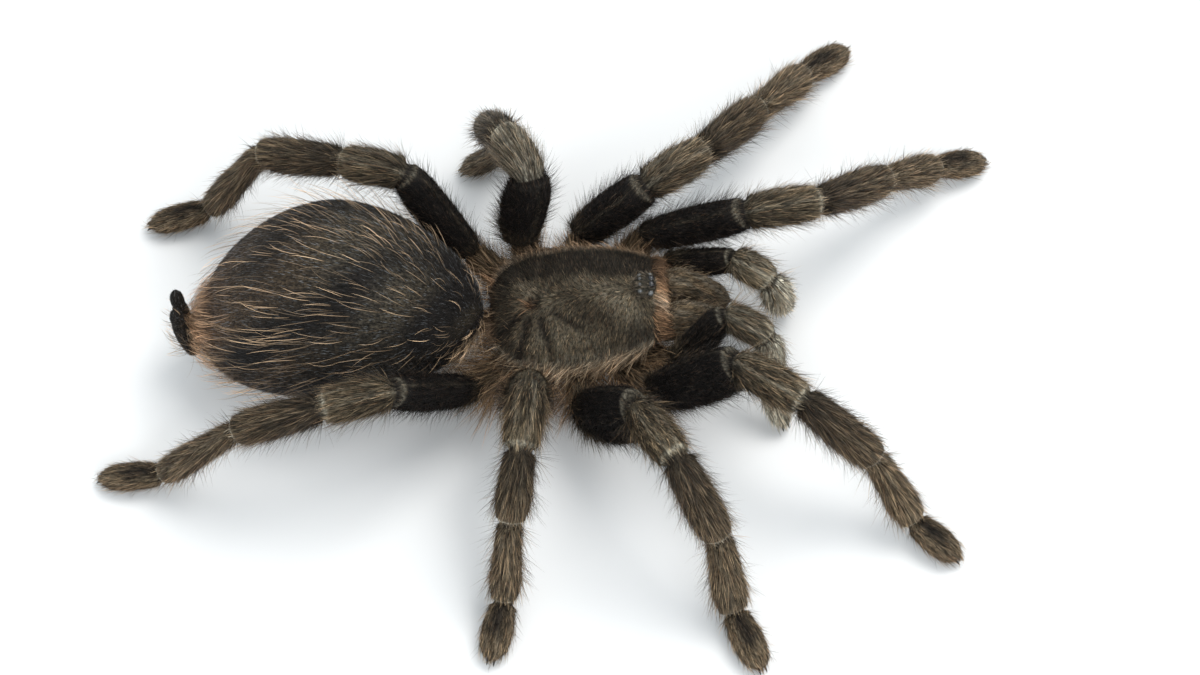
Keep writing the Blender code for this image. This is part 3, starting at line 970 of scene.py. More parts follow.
@dataclass
class Limb:
    """A leg or palp: one smooth tube of skin from its root to its tip, and its claws."""

    side: Side
    kind: Kind
    zone: int
    coat_depth: float = 0.36
    step_length: float = 0.46
    joint_step: float = 0.13
    around: int = 26
    knee_radius: float = 2.6
    tip_height: float = 1.35
    neck: float = 0.84
    neck_reach: float = 0.62
    lip: float = 0.07
    femur_belly: float = 0.35
    waves: float = 0.012
    stripe_turn: float = 0.42
    stripe_depth: float = 0.035
    ring_place: float = 0.45
    ring_width: float = 0.21
    floor_gap: float = 0.06
    claw: Horn = Horn(1.15, 75.0, (0.17, 0.15, 0.10, 0.03))

    @property
    def root_reach(self) -> float:
        """How much longer the hair on the first piece is; the right rear leg has the longest."""
        if self.side is Side.LEFT:
            return 0.35
        return {Kind.LEG_4: 1.35, Kind.LEG_3: 0.85}.get(self.kind, 0.90)

    @property
    def root_tufts(self) -> float:
        """How dense the tufts on the first piece are; the right rear leg has the densest."""
        if self.side is Side.LEFT:
            return 0.60
        return {Kind.LEG_4: 1.5, Kind.LEG_3: 1.1}.get(self.kind, 1.05)

    @property
    def steep(self) -> bool:
        """True for the third leg, whose knee is bent too steeply for a neck or a ring."""
        return self.kind is Kind.LEG_3

    @property
    def pieces(self) -> tuple[Piece, ...]:
        """Pieces of this kind of limb."""
        return PALP_PIECES if self.kind is Kind.PALP else LEG_PIECES

    def joints(self) -> list[Vector]:
        """Joint places from the root to the tip, in the scene."""
        forward, left, up = ROOTS[self.kind]
        points = [GROUND.at(forward, left * self.side.sign, up)]
        for length, turn in zip(LENGTHS[self.kind], STANCE[self.side, self.kind]):
            if isinstance(turn, tuple):
                heading, rise = turn
            else:
                heading = turn
                drop = points[-1].z / MM - self.tip_height
                rise = -math.degrees(math.asin(min(1.0, drop / length)))
            points.append(points[-1] + aim(heading, rise) * length * MM)
        return points

    def centre_line(self) -> tuple[ARRAY, ARRAY, list[int]]:
        """Follow the limb with its bends rounded.

        Returns:
            Places, directions, and the numbers of the places in the middle of each bend.
        """
        joints = self.joints()
        places, headings, bends = [], [], [0]
        low = 0.0
        for number in range(len(self.pieces)):
            start, end = joints[number], joints[number + 1]
            along = (end - start).normalized()
            length = (end - start).length
            last = number + 1 == len(self.pieces)
            reach = 0.0
            if not last:
                after = (joints[number + 2] - end).normalized()
                reach = self.knee_radius * MM * math.tan(along.angle(after) / 2)
            high = length * 1.02 if last else length - reach
            steps = max(2, round((high - low) / (self.step_length * MM)))
            for k in range(steps + 1):
                places.append(start + along * (low + (high - low) * k / steps))
                headings.append(along)
            if not last:
                near, far = end - along * reach, end + after * reach
                steps = 2 * max(2, round(reach / (self.step_length * MM)))
                for k in range(1, steps):
                    t = k / steps
                    if k == steps // 2:
                        bends.append(len(places))
                    places.append(near * (1 - t) ** 2 + end * 2 * t * (1 - t) + far * t * t)
                    headings.append(((end - near) * (1 - t) + (far - end) * t).normalized())
            low = reach
        bends.append(len(places) - 1)
        return np.array(places), np.array(headings), bends

    def ring_runs(self, run: ARRAY, bends: ARRAY) -> ARRAY:
        """Choose where the rings stand, close together at the bends.

        Args:
            run: length along the limb of the places on its centre line.
            bends: length along it of the middle of each bend between two pieces.

        Returns:
            The rings' lengths along the limb.
        """
        near = [bend + np.arange(-1.1, 0.7, self.joint_step) for bend in bends]
        between = [value for value in run if np.abs(bends - value + 0.2).min() > 1.0]
        return np.sort(np.concatenate([between, *near]))

    def half_size(self, number: int, along: float) -> ARRAY:
        """Half width and half depth of a piece's solid at a part of its length."""
        fullness = FULLNESS[self.pieces[number]].at(np.array([along]))[0]
        return np.array(HALF_SIZES[self.kind][number]) * fullness

    def half_sizes(self, spots: Spots) -> ARRAY:
        """Half width and half depth of the skin at each ring, with a neck at each bend."""
        half = np.array([self.half_size(*ring) for ring in zip(spots.number, spots.along)])
        for bend in range(1, len(self.pieces)):
            past = spots.run - spots.bends[bend]
            ends = np.minimum(self.half_size(bend - 1, 1.0), self.half_size(bend, 0.0))
            if not (self.steep and bend == KNEE):
                ends = ends * self.neck
            half = ends + (half - ends) * step(np.abs(past)[:, None], 0.1, self.neck_reach)
            half = half + self.lip * bell(-past - self.ring_place, 0.2)[:, None]
        return half - self.coat_depth

    def axes(self, headings: ARRAY) -> tuple[ARRAY, ARRAY]:
        """Level and deep direction of each ring, square to its heading."""
        joints = self.joints()
        reach = joints[4] - joints[2]
        across = np.array(Vector((reach.y, -reach.x, 0.0)).normalized())
        level = unit(across - headings * (headings @ across)[:, None])
        return level, unit(np.cross(headings, level))

    def loft(self) -> Loft:
        """Make the limb's tube.

        Returns:
            The tube with the marks of every piece.
        """
        places, headings, bends = self.centre_line()
        line = np.concatenate([[0.0], np.cumsum(np.linalg.norm(np.diff(places, axis=0), axis=1))]) / MM
        bend_runs = line[bends]
        run = self.ring_runs(line, bend_runs[1:-1])
        places = np.stack([np.interp(run, line, column) for column in places.T], axis=1)
        headings = unit(np.stack([np.interp(run, line, column) for column in headings.T], axis=1))
        number = np.clip(np.searchsorted(bend_runs, run, side="right") - 1, 0, len(self.pieces) - 1)
        along = (run - bend_runs[number]) / (bend_runs[number + 1] - bend_runs[number])
        spots = Spots(run, bend_runs, number, along, turns(self.around)[None, :])

        level, deep = self.axes(headings)
        bulge = np.sin(math.pi * along)[:, None]
        places = places + deep * (self.femur_belly * MM * bulge * spots.on(FEMUR_PIECE))
        swell = 1.0 + self.waves * wobble(run[:, None] * 0.7, spots.turn, SEED + self.zone)
        groove = bell(spots.away - self.stripe_turn, 0.10) * spots.on(*SHANK_PIECES) * bulge
        swell = swell - self.stripe_depth * groove
        half = self.half_sizes(spots)
        side = half[:, :1] * MM * np.sin(spots.turn) * swell
        top = half[:, 1:] * MM * np.cos(spots.turn) * swell
        rings = places[:, None, :] + level[:, None, :] * side[..., None] - deep[:, None, :] * top[..., None]
        rings[..., 2] = np.maximum(rings[..., 2], self.floor_gap * MM)
        grain = stacked(run[:, None] * 0.16, side / MM + self.zone * 9.0, top / MM)
        return Loft(self.zone, rings, grain, self.marks(spots))

    def marks(self, spots: Spots) -> MARKS:
        """Work out the limb's markings and its hair.

        Args:
            spots: where its rings and corners lie.

        Returns:
            The marks of every ring and corner.
        """
        table = PALP_MARKINGS if self.kind is Kind.PALP else LEG_MARKINGS
        kinds = [table[self.pieces[i]] for i in spots.number]
        share = {name: np.array([getattr(kind, name) for kind in kinds])[:, None]
                 for name in Marking.__dataclass_fields__}
        if self.steep and self.side is Side.LEFT:
            share["back"] = share["back"] * 0.3
        dome = spots.on(FEMUR_PIECE) * self.steep
        near_root = step(-spots.run, -13.0, -8.0)[:, None]
        ring = (share["ring"] * bell(spots.to_end - self.ring_place, self.ring_width)
                * (1.0 - 0.4 * spots.below) * (1.0 - 0.8 * dome))
        back = share["back"] * bell(spots.turn, 0.66) * step(-spots.along, -0.78, -0.45)[:, None]
        share |= {"ring": ring, "back": back, "near_root": near_root,
                  "waves": wobble(spots.run[:, None] * 0.5, spots.turn * 2.0, SEED * 3 + self.zone)}
        share["stripe"] = self.stripes(spots, share)
        close = bell(spots.to_end - 0.90, 0.85) * (1.0 - dome)
        short = 1.0 - 0.68 * close
        rough = 1.0 + 0.9 * near_root * spots.on(FEMUR_PIECE)
        flank = 0.45 + 0.55 * step(spots.away, 0.5, 1.2)
        fields = {
            "dark": self.dark(spots, share),
            "pale": self.pale(spots, share),
            "rust": share["rust"] * (0.7 + 0.6 * step(spots.away, 0.7, 1.6)) * (1.0 - ring),
            "nap": share["nap"] * (1.0 + (share["below"] - 1.0) * spots.below) * short * rough,
            "cover": (1.0 - 0.45 * bell(spots.to_seam, 0.25)) * (1.0 - 0.8 * ring),
            "tan": share["tan"] * (1.0 - 0.4 * spots.below) * (1.0 - 0.8 * back) * short,
            "guard": share["guard"] * (0.45 + step(spots.away, 0.6, 1.6)) * rough,
            "tuft": share["tuft"] * self.root_tufts * flank * (1.0 - step(spots.away, 2.0, 2.7)),
            "reach": (0.85 + 0.4 * step(spots.away, 0.7, 1.6) + self.root_reach * spots.on(ROOT_PIECE))
            * (1.0 - 0.42 * spots.on(len(self.pieces) - 1)) * (1.0 - 0.5 * close),
        }
        return marked(fields, (len(spots.run), self.around))

    def stripes(self, spots: Spots, share: MARKS) -> ARRAY:
        """Share of the pale lines along the limb, which fade before each bend."""
        pair = share["stripe"] * bell(spots.away - self.stripe_turn, 0.16)
        crest = share["ridge"] * bell(spots.turn, 0.13)
        return (pair + crest) * (0.75 + 0.25 * share["waves"]) * (1.0 - bell(spots.to_end - 0.3, 0.55))

    def pale(self, spots: Spots, share: MARKS) -> ARRAY:
        """Share of the pale colour; the raised left leg is paler beyond its knee.

        Args:
            spots: where the limb's rings and corners lie.
            share: each ring's shares, and those of the lines that have been worked out.

        Returns:
            The share at every ring and corner.
        """
        pale = share["pale"]
        pale = pale * (1.0 + 0.5 * share["waves"]) * (1.0 - 0.6 * spots.below * (1.0 - pale))
        pale = np.maximum(pale + share["stripe"], share["ring"])
        if self.steep and self.side is Side.LEFT:
            pale = pale + 0.42 * (spots.number >= KNEE)[:, None]
        return pale

    def dark(self, spots: Spots, share: MARKS) -> ARRAY:
        """Share of the dark colour.

        Args:
            spots: where the limb's rings and corners lie.
            share: each ring's shares, and those of the lines that have been worked out.

        Returns:
            The share at every ring and corner.
        """
        dark = share["dark"] * (1.0 - 0.8 * share["stripe"]) * (1.0 - 0.45 * share["near_root"])
        shaded = spots.on(*SHADED_PIECES)
        dark = dark * (1.0 + shaded * (0.45 - 0.95 * spots.along[:, None]))
        knee = (np.abs(spots.run - spots.bends[KNEE]) < 1.0)[:, None] * self.steep
        seam = 0.85 * bell(spots.to_seam - 0.03, 0.22) * (1.0 - 0.9 * knee)
        for other in (share["back"], 0.45 * spots.below * (1.0 - share["pale"]), seam):
            dark = np.maximum(dark, other)
        dark = dark * (1.0 - share["ring"])
        if self.steep and self.side is Side.RIGHT:
            dark = dark * (1.0 - 0.55 * spots.on(FEMUR_PIECE))
        return dark

    def claws(self) -> list[Loft]:
        """Two small curved claws under the tip of the foot."""
        joints = self.joints()
        ahead = (joints[-1] - joints[-2]).normalized()
        flat = Vector((ahead.x, ahead.y, 0.0)).normalized()
        across = Vector((flat.y, -flat.x, 0.0))
        made = []
        for sign in (-1.0, 1.0):
            root = joints[-1] + across * (0.42 * sign * MM) - flat * (0.25 * MM)
            root.z = max(root.z, 0.9 * MM)
            made.append(self.claw.loft(self.zone, root, flat, across))
        return made


# ---- body
@dataclass
class Abdomen:
    """Egg-shaped abdomen with a velvet nap and long rusty hair, and the waist before it."""

    centre: tuple[float, float] = (-18.4, 13.9)
    half_size: PLACE = (17.9, 13.0, 11.3)
    front_fill: float = 0.35
    front_drop: float = 4.2
    rear_drop: float = 5.4
    taper: float = 0.15
    waves: float = 0.012
    pole: float = 0.045
    coat_depth: float = 0.55
    rows: int = 84
    around: int = 96
    waist_front: float = 4.4
    waist_length: float = 5.8
    waist_height: float = 6.6

    def loft(self) -> Loft:
        """Make the egg, a tube from its front end to its rear end.

        Returns:
            The tube with its marks.
        """
        polar = np.linspace(self.pole, math.pi - self.pole, self.rows)[:, None]
        turn = turns(self.around)[None, :]
        long, wide, high = (size - self.coat_depth for size in self.half_size)
        ahead = np.cos(polar)
        girth = np.sin(polar) * (1.0 + self.waves * wobble(polar * 3.0, turn, SEED + 7))
        left = girth * np.sin(turn)
        sag = np.where(ahead > 0, self.front_drop, self.rear_drop) * ahead * ahead
        forward = self.centre[0] + ahead * (long + self.front_fill * (ahead > 0))
        across = left * wide * (1.0 - self.taper * np.maximum(0.0, ahead))
        height = self.centre[1] + girth * np.cos(turn) * high - sag
        rings = GROUND.points(forward, across, height)
        marks = self.marks(polar, turn, left)
        flow = unit(np.gradient(rings, axis=0))
        flow[..., 0] += 0.24 + 0.16 * wobble(polar * 5.0, turn * 3.0, SEED + 13)
        marks["lie"] = flow
        return Loft(ABDOMEN_ZONE, rings, stacked(forward * 0.8, across, height), marks)

    def marks(self, polar: ARRAY, turn: ARRAY, left: ARRAY) -> MARKS:
        """Work out the markings, with the rusty hair thickest round the rear, painted shade on the right
        side, dark hair and painted shadow towards the front and a painted sheen on top.

        Args:
            polar: angle of each ring from the front end.
            turn: angle of each corner from the back.
            left: place of each corner to the left, from -1 to 1.

        Returns:
            The marks of every ring and corner.
        """
        ahead, back = np.cos(polar), np.cos(turn) * np.sin(polar)
        waves = wobble(polar * 4.0, turn * 2.0, SEED + 8)
        rear = step(-ahead, 0.55, 0.98)
        crown = step(back, 0.70, 0.95) * step(np.abs(ahead), -0.2, 0.3)
        # painted shade: share of the right side, which the dark mark darkens
        right = step(-left, 0.25, 0.75)
        low_front = step(ahead, 0.72, 0.86) * step(-back, -0.35, 0.1) * step(-left, 0.0, 0.2)
        low_rear = step(-ahead, 0.45, 0.8) * step(-back, -0.35, 0.15) * step(-left, 0.0, 0.3)
        # painted sheen: the pale patch on top of the abdomen's middle
        painted_sheen = bell(ahead - 0.20, 0.35) * step(back, 0.3, 0.9)
        return marked({
            # darker on the right side as painted shade, and towards the front with dark hair and painted
            # shadow under the carapace
            "dark": 0.74 + 0.22 * waves + 0.22 * step(ahead, 0.40, 0.85) + 0.16 * right - 0.34 * rear,
            "pale": 0.05 + 0.07 * waves + 0.16 * painted_sheen,
            "rust": 0.34 * rear + 0.26 * step(-ahead, -0.2, 0.6) + 0.12 * step(-back, 0.2, 0.8),
            "nap": 1.0 + 0.5 * rear + 0.4 * step(-back, 0.0, 0.7),
            "guard": 1.0 + 17.0 * step(-ahead, 0.82, 0.95) - 0.5 * step(ahead, 0.5, 0.9)
            + 9.0 * low_front + 3.5 * low_rear,
            "reach": 1.0 - 0.35 * step(ahead, 0.3, 0.9) - 0.36 * rear - 0.30 * crown,
        }, left.shape)

    def waist(self) -> Loft:
        """Make the short tube from the sternum to the abdomen.

        Returns:
            The tube with its marks.
        """
        part = np.linspace(0.0, 1.0, 9)[:, None]
        turn = turns(18)[None, :]
        radius = 1.05 - 0.2 * np.sin(math.pi * part)
        forward = self.waist_front - self.waist_length * part
        across, height = radius * np.sin(turn), self.waist_height + radius * np.cos(turn)
        grain = stacked(forward * 0.2, across, height)
        return Loft(TORSO_ZONE, GROUND.points(forward, across, height), grain,
                    {"dark": 0.45, "rust": 0.4, "nap": 0.9, "tan": 7.0, "reach": 1.7})


@dataclass
class Spinneret:
    """Three-jointed spinneret that stands up behind the abdomen.

    Each joint has a length, a heading and a rise, and radii are those at the joints' ends.
    """

    side: Side
    root: PLACE = (-36.8, 1.35, 4.9)
    joints: tuple[PLACE, ...] = ((3.6, 180.0, 74.0), (2.7, 135.0, 76.0), (2.3, 110.0, 74.0))
    radii: tuple[float, ...] = (1.15, 1.1, 1.0, 0.7)
    neck: float = 0.86
    coat_depth: float = 0.12
    rows: int = 9
    around: int = 18

    def loft(self) -> Loft:
        """Make the spinneret's tube, with a neck at each joint.

        Returns:
            The tube with its marks.
        """
        forward, left, up = self.root
        place = GROUND.at(forward, left * self.side.sign, up)
        turn = turns(self.around)
        rings, grain, dark, run = [], [], [], 0.0
        for number, (length, heading, rise) in enumerate(self.joints):
            ahead = aim(heading, rise)
            deep = ahead.cross(Vector((1, 0, 0))).normalized()
            level = deep.cross(ahead)
            for part in np.linspace(0.04, 0.96, self.rows):
                radius = self.radius(number, part)
                past = length * part
                rings.append(circle(place + ahead * (past * MM), level, deep, turn, radius))
                grain.append(stacked((run + past) * 0.2, np.sin(turn) * radius, np.cos(turn) * radius))
                dark.append(np.full(self.around, 0.95 if part > 0.15 else 0.6))
            place = place + ahead * length * MM
            run += length
        first = (np.arange(len(rings)) < self.rows)[:, None]
        marks = {"dark": np.array(dark), "rust": 0.1, "nap": 0.6, "guard": 0.4 + 9.0 * first,
                 "reach": 0.3 + 0.35 * first}
        return Loft(ABDOMEN_ZONE, np.array(rings), np.array(grain), marks)

    def radius(self, number: int, part: float) -> float:
        """Radius of the skin at a part of a joint; the last joint ends round."""
        wide, narrow = self.radii[number], self.radii[number + 1]
        bulge = self.neck + (1.0 - self.neck) * math.sin(math.pi * part) ** 0.5
        radius = (wide + (narrow - wide) * part ** 2) * bulge
        if number == len(self.joints) - 1:
            radius *= math.sqrt(1.0 - 0.85 * max(0.0, (part - 0.55) / 0.45) ** 3)
        return radius - self.coat_depth


@dataclass
class Chelicera:
    """Stout jaw base with its curved fang folded under it.

    Its profiles run from -1, hidden under the shell, over 0 at the shell's edge to 5 at its tip.
    """

    side: Side
    forward: Profile = Profile(((-1, 20.8), (-0.05, 22.3), (1, 24.2), (2, 26.2), (3, 28.0), (4, 29.2),
                                (5, 29.8)))
    left: Profile = Profile(((-1, 2.30), (0, 2.40), (1, 2.30), (2, 2.00), (3, 1.75), (4, 1.60), (5, 1.50)))
    up: Profile = Profile(((-1, 7.7), (0, 8.9), (1, 9.1), (2, 8.7), (3, 8.0), (4, 7.4), (5, 7.0)))
    half_width: Profile = Profile(((-1, 1.7), (0, 2.15), (1, 2.10), (2, 1.80), (3, 1.50), (4, 1.20),
                                   (5, 0.60)))
    half_height: Profile = Profile(((-1, 1.9), (-0.1, 3.1), (1, 3.7), (2, 3.5), (3, 3.0), (4, 2.2),
                                    (5, 1.0)))
    waves: float = 0.02
    coat_depth: float = 0.3
    rows: int = 40
    around: int = 30
    fang_root: PLACE = (28.2, 1.9, 4.0)
    bare_fang: Horn = Horn(6.0, 50.0, (0.75, 0.62, 0.48, 0.06), drop=False)

    def loft(self) -> Loft:
        """Make the jaw base.

        Returns:
            Its tube with its marks, rusty under its tip.
        """
        part = np.linspace(-1.0, 5.0, self.rows)[:, None]
        turn = turns(self.around)[None, :]
        swell = 1.0 + self.waves * wobble(part * 2.0, turn, SEED + 9)
        wide = (self.half_width.at(part) - self.coat_depth) * swell
        high = (self.half_height.at(part) - self.coat_depth) * swell
        forward = self.forward.at(part)
        left = self.left.at(part) * self.side.sign + wide * np.sin(turn)
        up = self.up.at(part) + high * np.cos(turn)
        lower = step(np.abs(turn), 1.4, 2.4)
        waves = wobble(part * 1.3, turn * 2.0, SEED + 10)
        marks = marked({
            "dark": 0.06 + 0.28 * waves + 0.1 * bell(turn, 0.5),
            "pale": 0.17 + 0.15 * waves,
            "rust": 0.12 + 0.55 * lower * step(part, 2.5, 4.5),
            "nap": 0.75 + 0.5 * lower,
            "guard": 0.45 + 0.9 * lower,
            "tan": 0.80,
            "reach": 0.75,
        }, left.shape)
        grain = stacked(forward * 0.2 + 40.0, left, up)
        return Loft(TORSO_ZONE, GROUND.points(forward, left, up), grain, marks)

    def fang(self) -> Loft:
        """Curved fang folded back under the jaw base."""
        forward, left, up = self.fang_root
        root = GROUND.at(forward, left * self.side.sign, up)
        heading = aim(180.0, -self.bare_fang.curl / 2)
        return self.bare_fang.loft(TORSO_ZONE, root, heading, Vector((1, 0, 0)))


@dataclass
class Sternum:
    """Shield under the front of the body, between the coxae, with the lip before it."""

    centre: PLACE = (9.7, 0.0, 5.6)
    half_size: PLACE = (6.4, 3.1, 2.3)
    lip_centre: PLACE = (16.4, 0.0, 5.3)
    lip_half_size: PLACE = (1.5, 1.3, 1.4)
    coat_depth: float = 0.25
    pole: float = 0.08
    rows: int = 26
    around: int = 32

    def loft(self, centre: PLACE, half_size: PLACE) -> Loft:
        """Oval shell of skin.

        Args:
            centre: its middle.
            half_size: its half sizes (forward, left, up).

        Returns:
            The shell.
        """
        polar = np.linspace(self.pole, math.pi - self.pole, self.rows)[:, None]
        turn = turns(self.around)[None, :]
        long, wide, high = (size - self.coat_depth for size in half_size)
        forward = centre[0] + np.cos(polar) * long
        left = centre[1] + np.sin(polar) * np.sin(turn) * wide
        up = centre[2] + np.sin(polar) * np.cos(turn) * high
        grain = stacked(forward * 0.4, left, up)
        return Loft(TORSO_ZONE, GROUND.points(forward, left, up), grain,
                    {"dark": 0.75, "rust": 0.15, "nap": 0.8, "guard": 0.3})

    def lofts(self) -> list[Loft]:
        """The shield and the lip."""
        return [self.loft(self.centre, self.half_size), self.loft(self.lip_centre, self.lip_half_size)]


@dataclass(frozen=True)
class ShellSpots:
    """Where the points of the carapace's upper side lie.

    part is the part of the length of each ring and across the place across it from -1 to 1.
    forward and left are places in millimetres, furrow and pit say how deep in one a point is.
    """

    part: ARRAY
    across: ARRAY
    forward: ARRAY
    left: ARRAY
    furrow: ARRAY
    pit: ARRAY

    @property
    def out(self) -> ARRAY:
        """Place across the shell without its sign."""
        return np.abs(self.across)

    @property
    def leftish(self) -> ARRAY:
        """One on the left half."""
        return (self.across > 0).astype(float)

    @property
    def front(self) -> ARRAY:
        """Share of the bare strip before the eyes, where the brim grows."""
        return step(self.part, 0.922, 0.940)

    @property
    def rear(self) -> ARRAY:
        """Share of the rear edge."""
        return 1.0 - step(self.part, 0.0, 0.05)

    @property
    def margin(self) -> ARRAY:
        """Share of the side edges, wider on the left."""
        return step(self.out + 0.085 * self.leftish, 0.885, 0.950) * (1.0 - self.front)


@dataclass
class Carapace:
    """Domed shell with a pit and furrows, under short hair that lies away from the mid line."""

    length: float = 22.0
    half_width: Profile = Profile(((0.0, 4.2), (0.07, 6.6), (0.20, 8.4), (0.38, 9.0), (0.56, 8.9),
                                   (0.72, 8.3), (0.86, 7.2), (0.95, 6.3), (1.0, 5.5)))
    crown: Profile = Profile(((0.0, 9.4), (0.07, 10.3), (0.20, 11.3), (0.38, 12.3), (0.56, 13.3),
                              (0.72, 13.9), (0.86, 13.9), (0.95, 13.2), (1.0, 12.2)))
    underside: float = 8.3
    lift: float = 1.7
    level: float = 0.55
    rim: float = 0.75
    edge_gap: float = 0.25
    coat_depth: float = 0.34
    fovea: float = 5.8
    fovea_depth: float = 0.95
    fovea_radius: float = 1.15
    furrows: tuple[float, ...] = (40.0, 76.0, 108.0, 140.0)
    furrow_depth: float = 0.34
    furrow_width: float = 0.55
    waves: float = 0.05
    rows: int = 110
    half_columns: int = 42

    def loft(self) -> Loft:
        """Tube of the shell, whose rings run over the back and under the rim.

        Returns:
            The shell with its marks.
        """
        even = np.linspace(0.0, 1.0, self.rows)[:, None]
        part = 0.5 - 0.5 * np.cos(math.pi * (0.04 + 0.92 * even))
        part = (part - part[0]) / (part[-1] - part[0])
        across = np.sin(np.linspace(-math.pi / 2, math.pi / 2, 2 * self.half_columns + 1))[None, :]
        tail = np.sqrt(1.0 - np.clip(1.0 - part / 0.03, 0, 1) ** 2)
        nose = np.sqrt(1.0 - np.clip((part - 0.975) / 0.025, 0, 1) ** 2)
        rounding = 0.25 + 0.75 * tail * nose
        half_width = self.half_width.at(part) - self.coat_depth - (1.0 - tail) * 0.5
        under = self.underside + self.lift * np.clip((part - self.level) / (1 - self.level), 0, 1) ** 1.5
        rim_top = under + (self.rim - 0.1) * (0.4 + 0.6 * rounding)
        crown = rim_top + (self.crown.at(part) - self.coat_depth - rim_top) * rounding
        forward = part * (self.length - 2 * self.edge_gap) + self.edge_gap
        left = across * half_width
        dome = (1.0 - np.abs(across) ** 2.4) ** 0.75
        furrow, pit = self.hollows(forward, left)
        grow = step(dome, 0.0, 0.35)
        up = rim_top + (crown - rim_top) * dome
        up = up - (self.furrow_depth * furrow + self.fovea_depth * pit) * grow
        up = up + self.waves * wobble(forward * 0.6, left * 0.5, SEED + 11) * grow
        inner = np.linspace(1.0, -1.0, self.half_columns)[None, :]
        top = stacked(forward, left, up)
        low = stacked(forward, inner * (half_width - 0.5), under + 0.15)
        ring = np.concatenate([top, low], axis=1)
        spots = ShellSpots(part, across, np.broadcast_to(forward, left.shape), left, furrow, pit)
        return Loft(CARAPACE_ZONE, GROUND.points(*np.moveaxis(ring, -1, 0)), ring * 0.9 + [60.0, 0.0, 0.0],
                    self.marks(spots))

    def hollows(self, forward: ARRAY, left: ARRAY) -> tuple[ARRAY, ARRAY]:
        """Find the pit and the furrows that run out from it.

        Args:
            forward: places forward.
            left: places to the left.

        Returns:
            How deep in a furrow and in the pit each place is, from 0 to 1.
        """
        away = np.hypot(forward - self.fovea, left)
        bearing = np.degrees(np.arctan2(np.abs(left), forward - self.fovea))
        reach = step(away, 1.2, 3.0) * (1.0 - step(away, 6.2, 9.0))
        gaps = [np.radians(bearing - angle) * away for angle in self.furrows]
        furrow = np.max([bell(gap, self.furrow_width) * reach for gap in gaps], axis=0)
        return furrow, bell(np.hypot((forward - self.fovea) * 1.4, left * 0.8), self.fovea_radius)

    def marks(self, spots: ShellSpots) -> MARKS:
        """Work out the shell's markings and the lie of its hair.

        Args:
            spots: where the points of its upper side lie.

        Returns:
            The marks of every ring and corner.
        """
        front, rear, margin, left_half = spots.front, spots.rear, spots.margin, spots.leftish
        waves = wobble(spots.forward * 0.35, spots.left * 0.3, SEED + 12)
        dark = self.dark(spots, waves)
        tuft = bell(np.hypot(spots.forward - self.fovea + 0.5, spots.left + 0.3), 0.6)
        corner = rear * step(spots.out, 0.2, 0.7)
        edge_tufts = np.maximum(0.55 * margin, 1.6 * corner + 0.65 * rear) * (1.0 - 0.5 * left_half)
        fields = {
            "dark": np.clip(dark * (1.0 - margin), 0.0, 0.9),
            "pale": self.pale(spots, waves),
            "rust": np.clip((0.22 + 0.22 * left_half) * margin + 0.50 * rear + 1.2 * tuft, 0.0, 1.0),
            "nap": 0.85 + 0.45 * step(spots.out, 0.6, 0.95),
            "cover": 1.0 - front,
            "tan": (1.0 - front) * (1.0 - 0.8 * np.clip(dark, 0.0, 1.0)),
            "tuft": np.maximum(edge_tufts, 0.9 * tuft),
            "brim": front * (1.0 - step(spots.part, 0.975, 0.99)) * bell(spots.left + 0.5, 5.6),
            "reach": 0.85 + (0.5 - 0.7 * left_half) * margin + 0.6 * corner,
        }
        marks = {}
        for name, values in fields.items():
            values = np.broadcast_to(values, spots.left.shape)
            low = np.full((self.rows, self.half_columns), 0.9 if name == "dark" else 0.0)
            marks[name] = np.concatenate([values, low], axis=1)
        under = np.broadcast_to([0.0, 1.0, 0.0], (self.rows, self.half_columns, 3))
        marks["lie"] = np.concatenate([self.flow(spots), under], axis=1)
        return marks

    def flow(self, spots: ShellSpots) -> ARRAY:
        """Way of the hair: away from the mid line, backwards on the rim, over the jaws in front."""
        nearest = np.clip(spots.forward, self.fovea, 17.5)
        sweep = step(spots.out, 0.86, 0.96) * (5.5 + 9.0 * spots.leftish)
        flow = stacked(spots.left, nearest - spots.forward + 0.9 + sweep, -0.15 * np.abs(spots.left))
        front = spots.front[..., None]
        return unit(flow * (1.0 - front) + np.array([-0.35, -1.0, 0.35]) * front, 1e-3)

    def dark(self, spots: ShellSpots, waves: ARRAY) -> ARRAY:
        """Share of the dark colour.

        Args:
            spots: where the points of the upper side lie.
            waves: slow waves that make it uneven.

        Returns:
            The share: most in the pit, the furrows and a groove, where it is painted shade, and on the left
                and rear sides.
        """
        forward, left = spots.forward, spots.left
        edge = 2.5 - 1.3 * step(forward, 12.0, 15.5)
        # painted shade in the furrows and, below, in the pit, weaker on the left half
        furrow = spots.furrow * (0.90 - 0.55 * step(left, -0.5, 0.5)) * (0.8 + 0.4 * waves)
        shares = (
            0.28 + 0.45 * waves + furrow + 0.8 * spots.pit,
            0.84 * step(left + 0.5 * waves, edge - 1.2, edge + 1.2),
            0.72 * (1.0 - step(forward, 2.4, 4.6)),
            # painted shade of a groove right of the mid line
            0.75 * bell(left + 3.1 + 0.25 * (forward - 11.0), 0.8) * bell(forward - 12.0, 3.2),
            0.70 * step(forward, 14.0, 18.5) * step(-left, 2.6, 5.2),
            0.75 * spots.front * np.maximum(step(-left, 4.1, 5.6), step(left, 5.2, 6.2)),
        )
        return np.max(np.broadcast_arrays(*shares), axis=0)

